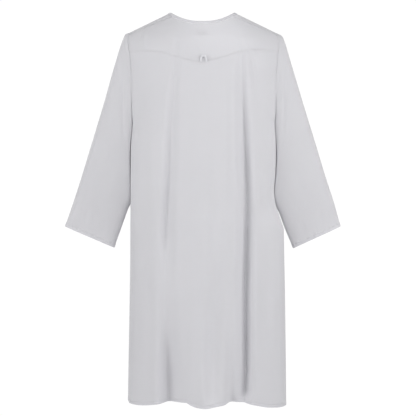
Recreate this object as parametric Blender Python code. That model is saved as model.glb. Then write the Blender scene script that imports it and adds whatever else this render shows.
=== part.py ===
"""A long plain collarless robe (thobe) with long sleeves, hollow and open as when it is worn.

Metres. Z is up, the back of the robe faces -Y and the front faces +Y, so +X is the wearer's right.
The origin is the middle of the neck opening, level with the neck ends of the shoulder line.

The cloth is one smooth surface. A place on it is given by "across", from -1 at the left edge to +1 at
the right edge, and "path", the way along the cloth from the shoulder crest, negative down the back and
positive down the front. Heights are given as "down", the distance below the origin.
"""

import math
from collections import namedtuple

import bpy
import numpy as np

# Cloth and sewing
CLOTH = 0.0012
TURNED_CLOTH = 0.0022
SEAM_GAP = 0.0003
HEM_TURN = 0.022
CUFF_TURN = 0.022

# Shoulders and neck
NECK_HALF_WIDTH = 0.099
NECK_DROP_BACK = 0.037
NECK_DROP_FRONT = 0.110
NECK_BACK_FLATNESS = 2.4
NECK_FRONT_FLATNESS = 2.7
SHOULDER_SLOPE = 0.488
CREST_RISE = 0.024
CREST_RADIUS = 0.110
BINDING_WIDTH = 0.009

# The binding's section: shares of its width from the neck's edge, how far it stands out, and its thickness
BindingRow = namedtuple("BindingRow", "share lift thickness")
BINDING_ROWS = [
    BindingRow(0.00, -0.00025, 0.00099),
    BindingRow(0.12, 0.00030, 0.00187),
    BindingRow(0.50, 0.00050, 0.00220),
    BindingRow(0.88, 0.00040, 0.00198),
    BindingRow(1.00, 0.00010, 0.00132),
]

# Armholes and the way that the body's section rounds. The armhole shapes the cloth close beside it only.
UNDERARM_DOWN = 0.340
ARMHOLE_WIDEST_DOWN = 0.200
ARMHOLE_HALF_DEPTH = 0.056
SECTION_SQUARENESS = 2.6
OPEN_POWER = 0.80
CLOSED_POWER = 0.32
CLOSING_START = 0.180
CLOSING_END = 0.440
EDGE_CLOSENESS = 16

# Folds fade out where the section's rounding is under one part in this many
FOLD_FADE = 4.0

# Hanger loop and label at the back neck
LOOP_WIDTH = 0.022
LOOP_HEIGHT = 0.020
LOOP_TAPE = 0.006
LOOP_TAPE_THICKNESS = 0.0010
LOOP_STAND_OFF = 0.0045
LOOP_CENTRE_X = 0.004
LOOP_FOOT_ABOVE_SEAM = 0.001
LOOP_LEG_POWER = 0.5
LOOP_BEND_POWER = 0.8
LABEL_LEFT, LABEL_RIGHT = -0.019, 0.014
LABEL_TOP_DOWN, LABEL_BOTTOM_DOWN = 0.066, 0.084
LABEL_THICKNESS = 0.0010
LABEL_STAND_OFF = 0.0008

# Heights at which widths are read: the shoulder points, the yoke and the hem
SHOULDER_DOWN = 0.070
YOKE_DOWN = 0.150
HEM_DOWN = 1.200

# The robe's sections: the side edges and how far the back and the front stand from the side seams
Section = namedtuple("Section", "down left right back front")
SECTIONS = [
    Section(0.000, -0.2250, 0.2325, 0.050, 0.050),
    Section(0.037, -0.2250, 0.2325, 0.067, 0.062),
    Section(0.062, -0.2252, 0.2327, 0.077, 0.072),
    Section(0.095, -0.2262, 0.2345, 0.089, 0.084),
    Section(0.150, -0.2195, 0.2280, 0.100, 0.102),
    Section(0.200, -0.2165, 0.2250, 0.106, 0.111),
    Section(0.270, -0.2158, 0.2243, 0.110, 0.117),
    Section(0.340, -0.2188, 0.2266, 0.113, 0.119),
    Section(0.370, -0.2202, 0.2274, 0.113, 0.119),
    Section(0.430, -0.2216, 0.2276, 0.114, 0.118),
    Section(0.500, -0.2218, 0.2250, 0.114, 0.117),
    Section(0.552, -0.2218, 0.2210, 0.115, 0.116),
    Section(0.586, -0.2218, 0.2245, 0.115, 0.116),
    Section(0.620, -0.2220, 0.2345, 0.115, 0.116),
    Section(0.652, -0.2224, 0.2455, 0.116, 0.117),
    Section(0.672, -0.2226, 0.2508, 0.116, 0.117),
    Section(0.730, -0.2227, 0.2518, 0.117, 0.118),
    Section(0.880, -0.2245, 0.2545, 0.119, 0.121),
    Section(1.050, -0.2275, 0.2565, 0.123, 0.125),
    Section(1.210, -0.2300, 0.2580, 0.127, 0.130),
]

# Where the back's seams run. The shoulder seam lies behind the crest, further at the neck.
SHOULDER_SEAM_PATH_AT_NECK = 0.067
SHOULDER_SEAM_PATH_AT_ARM = 0.045
SeamPlace = namedtuple("SeamPlace", "x down")
YOKE_SEAM = [
    SeamPlace(-0.230, 0.130),
    SeamPlace(-0.160, 0.132),
    SeamPlace(-0.112, 0.140),
    SeamPlace(-0.078, 0.152),
    SeamPlace(-0.025, 0.165),
    SeamPlace(0.000, 0.169),
    SeamPlace(0.029, 0.163),
    SeamPlace(0.080, 0.148),
    SeamPlace(0.120, 0.134),
    SeamPlace(0.165, 0.127),
    SeamPlace(0.238, 0.126),
]

# The hem: scalloped by the folds that end in it
BACK_HEM = [
    SeamPlace(-0.2300, 1.1890),
    SeamPlace(-0.2200, 1.1965),
    SeamPlace(-0.1960, 1.1960),
    SeamPlace(-0.1690, 1.1940),
    SeamPlace(-0.1300, 1.1885),
    SeamPlace(-0.0850, 1.1850),
    SeamPlace(-0.0480, 1.1835),
    SeamPlace(-0.0360, 1.1895),
    SeamPlace(-0.0150, 1.1960),
    SeamPlace(0.0110, 1.1975),
    SeamPlace(0.0400, 1.1935),
    SeamPlace(0.0680, 1.1885),
    SeamPlace(0.0820, 1.1835),
    SeamPlace(0.1050, 1.1840),
    SeamPlace(0.1550, 1.1915),
    SeamPlace(0.2000, 1.2010),
    SeamPlace(0.2360, 1.2045),
    SeamPlace(0.2580, 1.2060),
]
FRONT_HEM = [
    SeamPlace(-0.2300, 1.1890),
    SeamPlace(-0.2000, 1.1950),
    SeamPlace(-0.1400, 1.2020),
    SeamPlace(-0.0850, 1.1930),
    SeamPlace(-0.0200, 1.2030),
    SeamPlace(0.0300, 1.2040),
    SeamPlace(0.0900, 1.1940),
    SeamPlace(0.1600, 1.2050),
    SeamPlace(0.2200, 1.2050),
    SeamPlace(0.2580, 1.2060),
]

# Folds. A row says where the fold's deepest line is, how far it spreads to each side, and its depth,
# which is negative on a ridge that stands out. A keen fold narrows to a crease at its deepest line.
FoldRow = namedtuple("FoldRow", "down x left right depth")
Fold = namedtuple("Fold", "keen rows")
BACK_FOLDS = {
    "long right fold": Fold(0.9, [
        FoldRow(0.050, 0.118, 0.020, 0.024, 0.000),
        FoldRow(0.120, 0.119, 0.024, 0.028, 0.004),
        FoldRow(0.220, 0.120, 0.028, 0.026, 0.009),
        FoldRow(0.340, 0.124, 0.030, 0.026, 0.017),
        FoldRow(0.460, 0.130, 0.034, 0.026, 0.024),
        FoldRow(0.580, 0.134, 0.036, 0.028, 0.028),
        FoldRow(0.700, 0.133, 0.040, 0.030, 0.033),
        FoldRow(0.880, 0.130, 0.040, 0.030, 0.036),
        FoldRow(1.060, 0.130, 0.038, 0.030, 0.040),
        FoldRow(1.150, 0.128, 0.038, 0.030, 0.041),
        FoldRow(1.188, 0.126, 0.036, 0.030, 0.016),
        FoldRow(1.210, 0.125, 0.034, 0.030, 0.008),
    ]),
    "ridge beside it": Fold(0.0, [
        FoldRow(0.150, 0.090, 0.026, 0.022, 0.000),
        FoldRow(0.340, 0.094, 0.028, 0.022, -0.005),
        FoldRow(0.560, 0.098, 0.030, 0.022, -0.006),
        FoldRow(0.720, 0.096, 0.030, 0.020, -0.004),
        FoldRow(0.900, 0.094, 0.028, 0.020, 0.000),
    ]),
    "branch of the right fold": Fold(0.4, [
        FoldRow(0.090, 0.134, 0.012, 0.014, 0.000),
        FoldRow(0.145, 0.142, 0.014, 0.018, 0.004),
        FoldRow(0.200, 0.153, 0.018, 0.020, 0.004),
        FoldRow(0.270, 0.160, 0.018, 0.018, 0.000),
    ]),
    "left fold": Fold(0.8, [
        FoldRow(0.060, -0.076, 0.018, 0.020, 0.000),
        FoldRow(0.150, -0.080, 0.020, 0.022, 0.004),
        FoldRow(0.340, -0.092, 0.026, 0.026, 0.009),
        FoldRow(0.460, -0.097, 0.027, 0.032, 0.014),
        FoldRow(0.580, -0.103, 0.027, 0.036, 0.018),
        FoldRow(0.680, -0.109, 0.025, 0.040, 0.018),
        FoldRow(0.750, -0.108, 0.024, 0.038, 0.007),
        FoldRow(0.820, -0.107, 0.022, 0.036, 0.002),
        FoldRow(0.860, -0.107, 0.022, 0.036, 0.000),
    ]),
    "broad left valley": Fold(0.7, [
        FoldRow(0.820, -0.108, 0.026, 0.060, 0.000),
        FoldRow(0.950, -0.106, 0.030, 0.070, 0.009),
        FoldRow(1.050, -0.104, 0.034, 0.076, 0.028),
        FoldRow(1.150, -0.102, 0.036, 0.078, 0.040),
        FoldRow(1.210, -0.100, 0.036, 0.078, 0.040),
    ]),
    "right hem valley": Fold(0.5, [
        FoldRow(0.950, 0.088, 0.022, 0.030, 0.000),
        FoldRow(1.050, 0.088, 0.024, 0.034, 0.007),
        FoldRow(1.150, 0.088, 0.026, 0.050, 0.016),
        FoldRow(1.210, 0.090, 0.026, 0.070, 0.034),
    ]),
    "middle lobe": Fold(0.0, [
        FoldRow(0.950, 0.012, 0.050, 0.060, 0.000),
        FoldRow(1.210, 0.012, 0.050, 0.060, -0.012),
    ]),
    "shallow middle valley": Fold(0.2, [
        FoldRow(0.720, 0.056, 0.024, 0.024, 0.000),
        FoldRow(0.840, 0.046, 0.034, 0.030, 0.007),
        FoldRow(0.940, 0.036, 0.036, 0.034, 0.011),
        FoldRow(1.060, 0.030, 0.036, 0.036, 0.012),
        FoldRow(1.150, 0.030, 0.032, 0.034, 0.008),
        FoldRow(1.205, 0.030, 0.030, 0.030, 0.000),
    ]),
    "soft right valley": Fold(0.0, [
        FoldRow(0.780, 0.186, 0.026, 0.030, 0.000),
        FoldRow(0.880, 0.187, 0.028, 0.030, 0.006),
        FoldRow(0.980, 0.190, 0.028, 0.030, 0.005),
        FoldRow(1.060, 0.190, 0.028, 0.030, 0.000),
    ]),
}
FRONT_FOLDS = {
    "left front fold": Fold(0.7, [
        FoldRow(0.140, -0.120, 0.024, 0.024, 0.000),
        FoldRow(0.340, -0.118, 0.026, 0.026, 0.007),
        FoldRow(0.600, -0.112, 0.028, 0.030, 0.013),
        FoldRow(0.900, -0.104, 0.034, 0.038, 0.018),
        FoldRow(1.210, -0.088, 0.046, 0.048, 0.034),
    ]),
    "right front fold": Fold(0.7, [
        FoldRow(0.260, 0.088, 0.026, 0.026, 0.000),
        FoldRow(0.460, 0.092, 0.028, 0.028, 0.008),
        FoldRow(0.800, 0.094, 0.036, 0.032, 0.016),
        FoldRow(1.210, 0.092, 0.048, 0.048, 0.036),
    ]),
    "front middle lobe": Fold(0.0, [
        FoldRow(0.700, 0.006, 0.070, 0.070, 0.000),
        FoldRow(1.210, 0.006, 0.070, 0.070, -0.012),
    ]),
    "side front fold": Fold(0.3, [
        FoldRow(0.620, 0.180, 0.026, 0.026, 0.000),
        FoldRow(0.860, 0.184, 0.028, 0.028, 0.009),
        FoldRow(1.100, 0.182, 0.028, 0.028, 0.004),
        FoldRow(1.190, 0.182, 0.028, 0.028, 0.000),
    ]),
}
CREASE_ROUNDING = 0.10

# Sleeves. A row is one ring: its outer edge, its inner edge and half its depth. The upper rings would reach
# into the body's side; they are kept outside it, so that the sleeve lies against the body.
SleeveRow = namedtuple("SleeveRow", "along outer_x outer_y outer_down inner_x inner_y inner_down depth")
LEFT_SLEEVE = [
    SleeveRow(0.000, -0.2250, 0.000, 0.0620, -0.2188, 0.000, 0.3400, 0.056),
    SleeveRow(0.025, -0.2375, 0.001, 0.0665, -0.2180, 0.003, 0.3524, 0.056),
    SleeveRow(0.060, -0.2449, 0.003, 0.0797, -0.2150, 0.007, 0.3712, 0.056),
    SleeveRow(0.160, -0.2665, 0.008, 0.1445, -0.2130, 0.013, 0.4169, 0.056),
    SleeveRow(0.350, -0.3022, 0.016, 0.2678, -0.2120, 0.020, 0.5015, 0.056),
    SleeveRow(0.550, -0.3407, 0.022, 0.3921, -0.2130, 0.024, 0.5685, 0.053),
    SleeveRow(0.750, -0.3799, 0.027, 0.5169, -0.2286, 0.027, 0.6109, 0.047),
    SleeveRow(0.874, -0.4051, 0.030, 0.5920, -0.2479, 0.029, 0.6634, 0.041),
    SleeveRow(1.000, -0.4299, 0.033, 0.6610, -0.2722, 0.031, 0.7280, 0.034),
]
RIGHT_SLEEVE = [
    SleeveRow(0.000, 0.2325, 0.000, 0.0620, 0.2266, 0.000, 0.3400, 0.056),
    SleeveRow(0.025, 0.2450, 0.001, 0.0680, 0.2256, 0.003, 0.3524, 0.056),
    SleeveRow(0.060, 0.2534, 0.003, 0.0852, 0.2235, 0.007, 0.3712, 0.056),
    SleeveRow(0.160, 0.2709, 0.008, 0.1445, 0.2200, 0.013, 0.4169, 0.056),
    SleeveRow(0.350, 0.3082, 0.016, 0.2678, 0.2170, 0.020, 0.5015, 0.056),
    SleeveRow(0.550, 0.3475, 0.022, 0.3921, 0.2125, 0.024, 0.5685, 0.053),
    SleeveRow(0.750, 0.3864, 0.027, 0.5169, 0.2340, 0.027, 0.6198, 0.047),
    SleeveRow(0.874, 0.4115, 0.030, 0.5920, 0.2526, 0.029, 0.6683, 0.041),
    SleeveRow(1.000, 0.4311, 0.033, 0.6610, 0.2795, 0.031, 0.7300, 0.034),
]
SLEEVE_LENGTH = 0.62
SLEEVE_SQUARENESS = 3.6
INNER_SQUARENESS = 6.0
INNER_LEAN = 0.16
SLEEVE_LEAVING, SLEEVE_FREE = 0.50, 0.80
ARMHOLE_BLEND = 0.30
SLEEVE_SETTLING = 0.05
SLEEVE_CLEARANCE = 0.0016
SLEEVE_CORNER = 0.0012

# Passes that settle a point's height and its x, each of which depends on the other
SETTLING_STEPS = 12

# Steps of the chart over which slopes are read, and the tightest angles and lengths told apart
CLOTH_STEP = 0.002
ARMHOLE_STEP = 0.004
NECK_STEP = 0.01
CLOSE = 1e-6
SHARP_EDGE = math.radians(50)

# The search for the neck's corner halves its span this often, from this angle on
CORNER_START = 0.3
HALVINGS = 40
NECK_SEARCH_POINTS = 400

# How finely each piece is divided. A band ends at "to" and has "steps" equal steps of angle or of length.
Band = namedtuple("Band", "to steps")
LEFT_COLUMNS = 9
NECK_COLUMNS = [Band(-0.240, 4), Band(-0.150, 2), Band(0.160, 4)]
LAST_NECK_COLUMNS = 5
RIGHT_COLUMNS = [Band(0.660, 6), Band(1.000, 7)]
YOKE_ROWS = 8
BACK_ROWS = [Band(0.340, 4), Band(0.500, 4), Band(0.670, 7), Band(1.120, 8)]
HEM_ROWS = 3
FRONT_SHOULDER_COLUMNS = 5
FRONT_SIDE_ROWS = 5
FRONT_NECK_TURN = 2.02
FRONT_NECK_COLUMNS = 9
FRONT_TOP_ROWS = 8
FRONT_ROWS = [Band(0.500, 4), Band(0.670, 7), Band(1.120, 7)]
FRONT_SHOULDER_SHARE = 0.56
SLEEVE_RINGS = 17
SLEEVE_CROWDING = 1.35
CUFF_RINGS = 2
LOOP_STEPS = 14


def smooth_curve(table, column, at):
    """A column of a table at these places in its first column, on a curve that never overshoots the rows."""
    stations = np.array([row[0] for row in table])
    values = np.array([getattr(row, column) for row in table])
    at = np.clip(np.asarray(at, float), stations[0], stations[-1])
    steps = np.diff(stations)
    slopes = np.diff(values) / steps
    tangents = np.empty(len(stations))
    tangents[0], tangents[-1] = slopes[0], slopes[-1]
    before, after = slopes[:-1], slopes[1:]
    same_way = before * after > 0
    total = np.where(same_way, before + after, 1.0)
    tangents[1:-1] = np.where(same_way, 2.0 * before * after / total, 0.0)
    k = np.clip(np.searchsorted(stations, at, side="right") - 1, 0, len(steps) - 1)
    t = (at - stations[k]) / steps[k]
    start, end = values[k], values[k + 1]
    leave, arrive = tangents[k] * steps[k], tangents[k + 1] * steps[k]
    return (
        start * (2 * t**3 - 3 * t**2 + 1)
        + leave * (t**3 - 2 * t**2 + t)
        + end * (3 * t**2 - 2 * t**3)
        + arrive * (t**3 - t**2)
    )


def ease(t):
    """From 0 to 1 with no slope at either end."""
    t = np.clip(t, 0.0, 1.0)
    return t * t * (3.0 - 2.0 * t)


def bell(t):
    """1 at the middle, 0 from -1 and +1 outwards."""
    return 0.5 * (1.0 + np.cos(math.pi * np.clip(t, -1.0, 1.0)))


def crease(t):
    """1 at the middle, 0 from -1 and +1 outwards, steepest beside the middle."""
    near = np.sqrt(np.clip(t, -1.0, 1.0) ** 2 + CREASE_ROUNDING**2) - CREASE_ROUNDING
    return (1.0 - near / (math.sqrt(1.0 + CREASE_ROUNDING**2) - CREASE_ROUNDING)) ** 2


def crest_down(x):
    """How far the shoulder crest lies below the origin. Inside the neck it is the line it would follow."""
    beside_neck = SHOULDER_SLOPE * (np.abs(x) - NECK_HALF_WIDTH)
    over_neck = CREST_RISE * ((x / NECK_HALF_WIDTH) ** 2 - 1.0)
    return np.where(np.abs(x) > NECK_HALF_WIDTH, beside_neck, over_neck)


def drop_of_path(path):
    """How far the cloth has come down below the crest after this way along it."""
    path = np.abs(path)
    quarter = CREST_RADIUS * math.pi / 2
    turning = CREST_RADIUS * (1.0 - np.cos(np.minimum(path, quarter) / CREST_RADIUS))
    return turning + np.maximum(path - quarter, 0.0)


def path_of_drop(drop):
    turning = np.clip(drop / CREST_RADIUS, 0.0, 1.0)
    return CREST_RADIUS * np.arccos(1.0 - turning) + np.maximum(drop - CREST_RADIUS, 0.0)


def edge_depth(down):
    """Half the armhole's depth at this height, closing to nothing at the underarm."""
    t = (down - ARMHOLE_WIDEST_DOWN) / (UNDERARM_DOWN - ARMHOLE_WIDEST_DOWN)
    return ARMHOLE_HALF_DEPTH * np.sqrt(1.0 - np.clip(t, 0.0, 1.0) ** 2)


def fold_depth(folds, x, down):
    """How far all the folds together pull the cloth inwards."""
    total = np.zeros(np.broadcast(x, down).shape)
    for keen, rows in folds.values():
        centre = smooth_curve(rows, "x", down)
        left = smooth_curve(rows, "left", down)
        right = smooth_curve(rows, "right", down)
        depth = smooth_curve(rows, "depth", down)
        reach = (x - centre) / np.where(x < centre, left, right)
        form = bell(reach) + keen * (crease(reach) - bell(reach))
        above = down < rows[0].down
        total = total + np.where(above | (depth == 0.0), 0.0, depth * form)
    return total


def place(across, down):
    """The x that lies this share of the way from the middle to an edge."""
    left = smooth_curve(SECTIONS, "left", down)
    right = smooth_curve(SECTIONS, "right", down)
    return (left + right) / 2 + across * (right - left) / 2


def share_across(x, down):
    left = smooth_curve(SECTIONS, "left", down)
    right = smooth_curve(SECTIONS, "right", down)
    return np.clip((2 * x - left - right) / (right - left), -1.0, 1.0)


def section_depth(across, down, back):
    """How far the body's cloth stands from the side seams, without its folds, and how that rounds off."""
    reach = np.where(back, smooth_curve(SECTIONS, "back", down), smooth_curve(SECTIONS, "front", down))
    closing = ease((down - CLOSING_START) / (CLOSING_END - CLOSING_START))
    beside_edge = ARMHOLE_HALF_DEPTH * (1.0 - closing)
    edge = beside_edge + (edge_depth(down) - beside_edge) * np.abs(across) ** EDGE_CLOSENESS
    power = OPEN_POWER + (CLOSED_POWER - OPEN_POWER) * closing
    rounding = (1.0 - np.abs(across) ** SECTION_SQUARENESS) ** power
    return edge + (reach - edge) * rounding, rounding


def body_side(y, down, side):
    """The x of the body's side at this depth and height, found by halving."""
    low, high = np.zeros(y.shape), np.ones(y.shape)
    for _ in range(HALVINGS):
        middle = (low + high) / 2
        beyond = section_depth(middle, down, y < 0)[0] < np.abs(y)
        low, high = np.where(beyond, low, middle), np.where(beyond, middle, high)
    return place(side * low, down)


def lying_beside(points, along, side):
    """The sleeve's rings, kept off the body: its inner side lies against the body's side."""
    settled = ease(along / SLEEVE_SETTLING)[:, None]
    limit = side * body_side(points[..., 1], -points[..., 2], side) + SLEEVE_CLEARANCE * settled
    over = (side * points[..., 0] - limit) / 2
    x = side * (limit + over + np.sqrt(over**2 + (SLEEVE_CORNER * settled) ** 2))
    return np.stack([x, points[..., 1], points[..., 2]], axis=-1)


def cloth_point(across, path):
    """The outer face of the body's cloth."""
    across, path = np.broadcast_arrays(np.asarray(across, float), np.asarray(path, float))
    down = drop_of_path(path)
    for _ in range(SETTLING_STEPS):
        x = place(across, down)
        down = crest_down(x) + drop_of_path(path)
    x = place(across, down)
    back = path < 0
    depth, rounding = section_depth(across, down, back)
    over_crest = np.sin(np.minimum(np.abs(path) / CREST_RADIUS, math.pi / 2))
    depth = depth * over_crest
    folds = np.where(back, fold_depth(BACK_FOLDS, x, down), fold_depth(FRONT_FOLDS, x, down))
    depth = depth - folds * over_crest * np.minimum(1.0, FOLD_FADE * rounding)
    return np.stack([x, np.where(back, -depth, depth), -down], axis=-1)


def cloth_normal(across, path):
    """The outward direction, from the slope of the surface just inside its edges."""
    step = CLOTH_STEP
    across, path = np.broadcast_arrays(np.asarray(across, float), np.asarray(path, float))
    inside = np.clip(across, -1.0 + 2 * step, 1.0 - 2 * step)
    along_x = cloth_point(inside + step, path) - cloth_point(inside - step, path)
    along_path = cloth_point(inside, path + step) - cloth_point(inside, path - step)
    normal = np.cross(along_x, along_path)
    return normal / np.linalg.norm(normal, axis=-1, keepdims=True)


def armhole_normal(side, path):
    """The outward direction in the plane of the armhole, shared by the body and the sleeve there."""
    along = cloth_point(side, path + ARMHOLE_STEP) - cloth_point(side, path - ARMHOLE_STEP)
    normal = np.stack([np.zeros_like(along[..., 0]), -along[..., 2], along[..., 1]], axis=-1)
    return normal / np.linalg.norm(normal, axis=-1, keepdims=True)


def path_at(x, down, side):
    """The path to this height, on the back for side -1 and on the front for side +1."""
    return side * path_of_drop(down - crest_down(x))


def neck_place(angle, offset):
    """x and path on a line that runs round the neck, `offset` away from its edge. Angle 0 is the nape."""

    def edge(at):
        x = NECK_HALF_WIDTH * np.sin(at)
        on_back = np.cos(at) > 0
        nape = NECK_DROP_BACK * (1.0 - np.abs(np.sin(at)) ** NECK_BACK_FLATNESS)
        throat = NECK_DROP_FRONT * (1.0 - np.abs(np.sin(at)) ** NECK_FRONT_FLATNESS)
        down = np.where(on_back, nape, throat)
        drop = np.maximum(down - crest_down(x), 0.0)
        return np.stack([x, np.where(on_back, -1.0, 1.0) * path_of_drop(drop)], axis=-1)

    here = edge(angle)
    along = edge(angle + NECK_STEP) - edge(angle - NECK_STEP)
    away = np.stack([-along[..., 1], along[..., 0]], axis=-1)
    away = away / np.linalg.norm(away, axis=-1, keepdims=True)
    return here - offset * away


def shoulder_seam_path(x):
    along = (np.abs(x) - NECK_HALF_WIDTH) / (SECTIONS[0].right - NECK_HALF_WIDTH)
    return -SHOULDER_SEAM_PATH_AT_NECK - (SHOULDER_SEAM_PATH_AT_ARM - SHOULDER_SEAM_PATH_AT_NECK) * along


def corner_angle(offset, side):
    """Where the neck line meets the shoulder seam, found by halving."""
    low, high = CORNER_START, math.pi / 2
    for _ in range(HALVINGS):
        middle = (low + high) / 2
        x, path = neck_place(np.array(side * middle), offset)
        if path < shoulder_seam_path(x):
            low = middle
        else:
            high = middle
    return side * (low + high) / 2


def banded(start, bands, shape=None):
    """Stations from `start` through the bands. `shape` is the curve on which the steps are equal."""
    shape = shape or (lambda value: value, lambda value: value)
    stations = [start]
    for band in bands:
        ends = shape[0](stations[-1]), shape[0](band.to)
        even = np.linspace(*ends, band.steps + 1)[1:]
        stations += [shape[1](value) for value in even]
    return np.array(stations)


def wall(name, outer, normals, thickness, material, closed=False, gap=(0, 0)):
    """A closed cloth wall from rows of points on its outer face, thick inwards.

    `closed` joins the last column to the first. `gap` leaves out the cells in its first number of rows,
    apart from its second number of columns at each side.
    """
    rows, columns = outer.shape[:2]
    inner = outer - normals * np.broadcast_to(thickness, (rows, columns))[..., None]
    points = np.concatenate([outer.reshape(-1, 3), inner.reshape(-1, 3)])
    inside = rows * columns
    spans = columns if closed else columns - 1
    triangles = []
    for row in range(rows - 1):
        for column in range(spans):
            if row < gap[0] and gap[1] <= column < spans - gap[1]:
                continue
            a, b = row * columns + column, row * columns + (column + 1) % columns
            d, c = a + columns, b + columns
            if np.linalg.norm(points[a] - points[c]) < np.linalg.norm(points[b] - points[d]):
                triangles += [(a, d, c), (a, c, b)]
            else:
                triangles += [(a, d, b), (d, c, b)]
    edges = {(face[n], face[(n + 1) % 3]) for face in triangles for n in range(3)}
    rim = [(a, b) for a, b in edges if (b, a) not in edges]
    faces = triangles + [(inside + a, inside + c, inside + b) for a, b, c in triangles]
    for a, b in sorted(rim):
        faces += [(b, a, inside + a), (b, inside + a, inside + b)]
    used, faces = np.unique(np.array(faces), return_inverse=True)
    return solid(name, points[used], faces.reshape(-1, 3), material)


def solid(name, points, faces, material):
    mesh = bpy.data.meshes.new(name)
    mesh.from_pydata(points.tolist(), [], faces.tolist())
    if signed_volume(points, faces) < 0:
        mesh.flip_normals()
    mesh.validate()
    mesh.shade_smooth()
    mesh.set_sharp_from_angle(angle=SHARP_EDGE)
    mesh.materials.append(material)
    made = bpy.data.objects.new(name, mesh)
    bpy.context.scene.collection.objects.link(made)
    return made


def signed_volume(points, faces):
    corners = points[faces]
    return np.einsum("ij,ij->i", corners[:, 0], np.cross(corners[:, 1], corners[:, 2])).sum() / 6


def cloth_material(name, colour, roughness):
    material = bpy.data.materials.new(name)
    material.use_nodes = True
    shader = material.node_tree.nodes["Principled BSDF"]
    shader.inputs["Base Color"].default_value = (*colour, 1.0)
    shader.inputs["Roughness"].default_value = roughness
    shader.inputs["Metallic"].default_value = 0.0
    return material


def panel_arrays(across, path):
    """Points and outward directions of a panel, parted from its neighbours along the armholes and the sides."""
    points = cloth_point(across, path)
    normals = cloth_normal(across, path)
    on_edge = np.abs(across) > 1.0 - CLOSE
    down = -points[..., 2]
    armhole = on_edge & (down < UNDERARM_DOWN + CLOSE)
    normals[armhole] = armhole_normal(across[armhole], path[armhole])
    side_seam = on_edge & (down >= UNDERARM_DOWN - CLOSE)
    sideways = np.sign(across[side_seam])
    normals[side_seam] = np.stack([sideways, 0 * sideways, 0 * sideways], axis=-1)
    half_gap = SEAM_GAP / 2 * np.where(path < 0, -1.0, 1.0)
    points[..., 1] += np.where(on_edge, half_gap, 0.0)
    return points, normals


def neck_corners():
    """Angle, x and path where the panels' neck edge meets the shoulder seams, left and right."""
    offset = BINDING_WIDTH + SEAM_GAP
    angles = [corner_angle(offset, side) for side in (-1, 1)]
    return [(angle, *neck_place(np.array(angle), offset)) for angle in angles]


def back_columns():
    """Shares across the back. One column ends at each corner of the neck."""
    left, right = (float(share_across(corner[1], YOKE_DOWN)) for corner in neck_corners())
    bands = [Band(left, LEFT_COLUMNS), *NECK_COLUMNS, Band(right, LAST_NECK_COLUMNS), *RIGHT_COLUMNS]
    return banded(-1.0, bands, (math.asin, math.sin))


def yoke_seam_path(x):
    return path_at(x, smooth_curve(YOKE_SEAM, "down", x), -1)


def back_neck_angles():
    """Angles of the neck's line at the yoke's columns, from one corner to the other."""
    corners = neck_corners()
    fine = np.linspace(corners[0][0], corners[1][0], NECK_SEARCH_POINTS)
    x_of_fine = neck_place(fine, BINDING_WIDTH + SEAM_GAP)[:, 0]
    last = len(back_columns()) - sum(band.steps for band in RIGHT_COLUMNS)
    return np.interp(place(back_columns()[LEFT_COLUMNS:last], YOKE_DOWN), x_of_fine, fine)


def yoke_grid():
    """Across and path from the shoulder seams and the nape down to the yoke seam."""
    columns = back_columns()
    x_low = place(columns, YOKE_DOWN)
    top = shoulder_seam_path(x_low) - SEAM_GAP / 2
    round_neck = neck_place(back_neck_angles(), BINDING_WIDTH + SEAM_GAP)
    neck = slice(LEFT_COLUMNS, LEFT_COLUMNS + len(round_neck))
    top[neck] = round_neck[:, 1]
    top[neck.start] -= SEAM_GAP / 2
    top[neck.stop - 1] -= SEAM_GAP / 2
    x_top = place(columns, crest_down(x_low) + drop_of_path(top))
    x_top[neck] = round_neck[:, 0]
    bottom = yoke_seam_path(x_low) + SEAM_GAP / 2
    shares = np.linspace(0.0, 1.0, YOKE_ROWS + 1)[:, None]
    across_top = share_across(x_top, crest_down(x_top) + drop_of_path(top))
    across_top[0], across_top[-1] = -1.0, 1.0
    return across_top + (columns - across_top) * ease(shares), top + (bottom - top) * shares


def make_back_yoke(material):
    points, normals = panel_arrays(*yoke_grid())
    return wall("back_yoke", points, normals, CLOTH, material)


def rows_to_hem(across, downs, hem_down, side):
    """Paths of rows at set heights, and of the rows of the turned hem."""
    hem_start = hem_down - HEM_TURN
    wanted = [np.full_like(across, down) for down in downs]
    wanted.append((wanted[-1] + hem_start) / 2)
    wanted += [hem_start + HEM_TURN * n / HEM_ROWS for n in range(HEM_ROWS + 1)]
    wanted = np.array(wanted)
    return path_at(place(across, wanted), wanted, side)


def back_grid():
    """Across and path from the yoke seam down to the hem."""
    columns = back_columns()
    top = yoke_seam_path(place(columns, YOKE_DOWN)) - SEAM_GAP / 2
    hem = smooth_curve(BACK_HEM, "down", place(columns, HEM_DOWN))
    downs = banded(0.170, BACK_ROWS)[1:]
    path = np.concatenate([top[None, :], rows_to_hem(columns, downs, hem, -1)])
    return np.broadcast_to(columns, path.shape), path


def turned_thickness(rows):
    """One layer of cloth, and two where the hem is turned up."""
    thickness = np.full((rows, 1), CLOTH)
    thickness[-HEM_ROWS:] = TURNED_CLOTH
    return thickness


def make_back_panel(material):
    across, path = back_grid()
    points, normals = panel_arrays(across, path)
    return wall("back_panel", points, normals, turned_thickness(len(path)), material)


def front_neck_angles(side):
    """Angles from the neck's corner over the crest, and on round the throat to its middle."""
    corner = corner_angle(BINDING_WIDTH + SEAM_GAP, side)
    beside = np.linspace(corner, side * FRONT_NECK_TURN, FRONT_SIDE_ROWS + 1)
    below = np.linspace(side * FRONT_NECK_TURN, side * math.pi, FRONT_NECK_COLUMNS + 1)
    return beside, below[1:]


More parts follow.
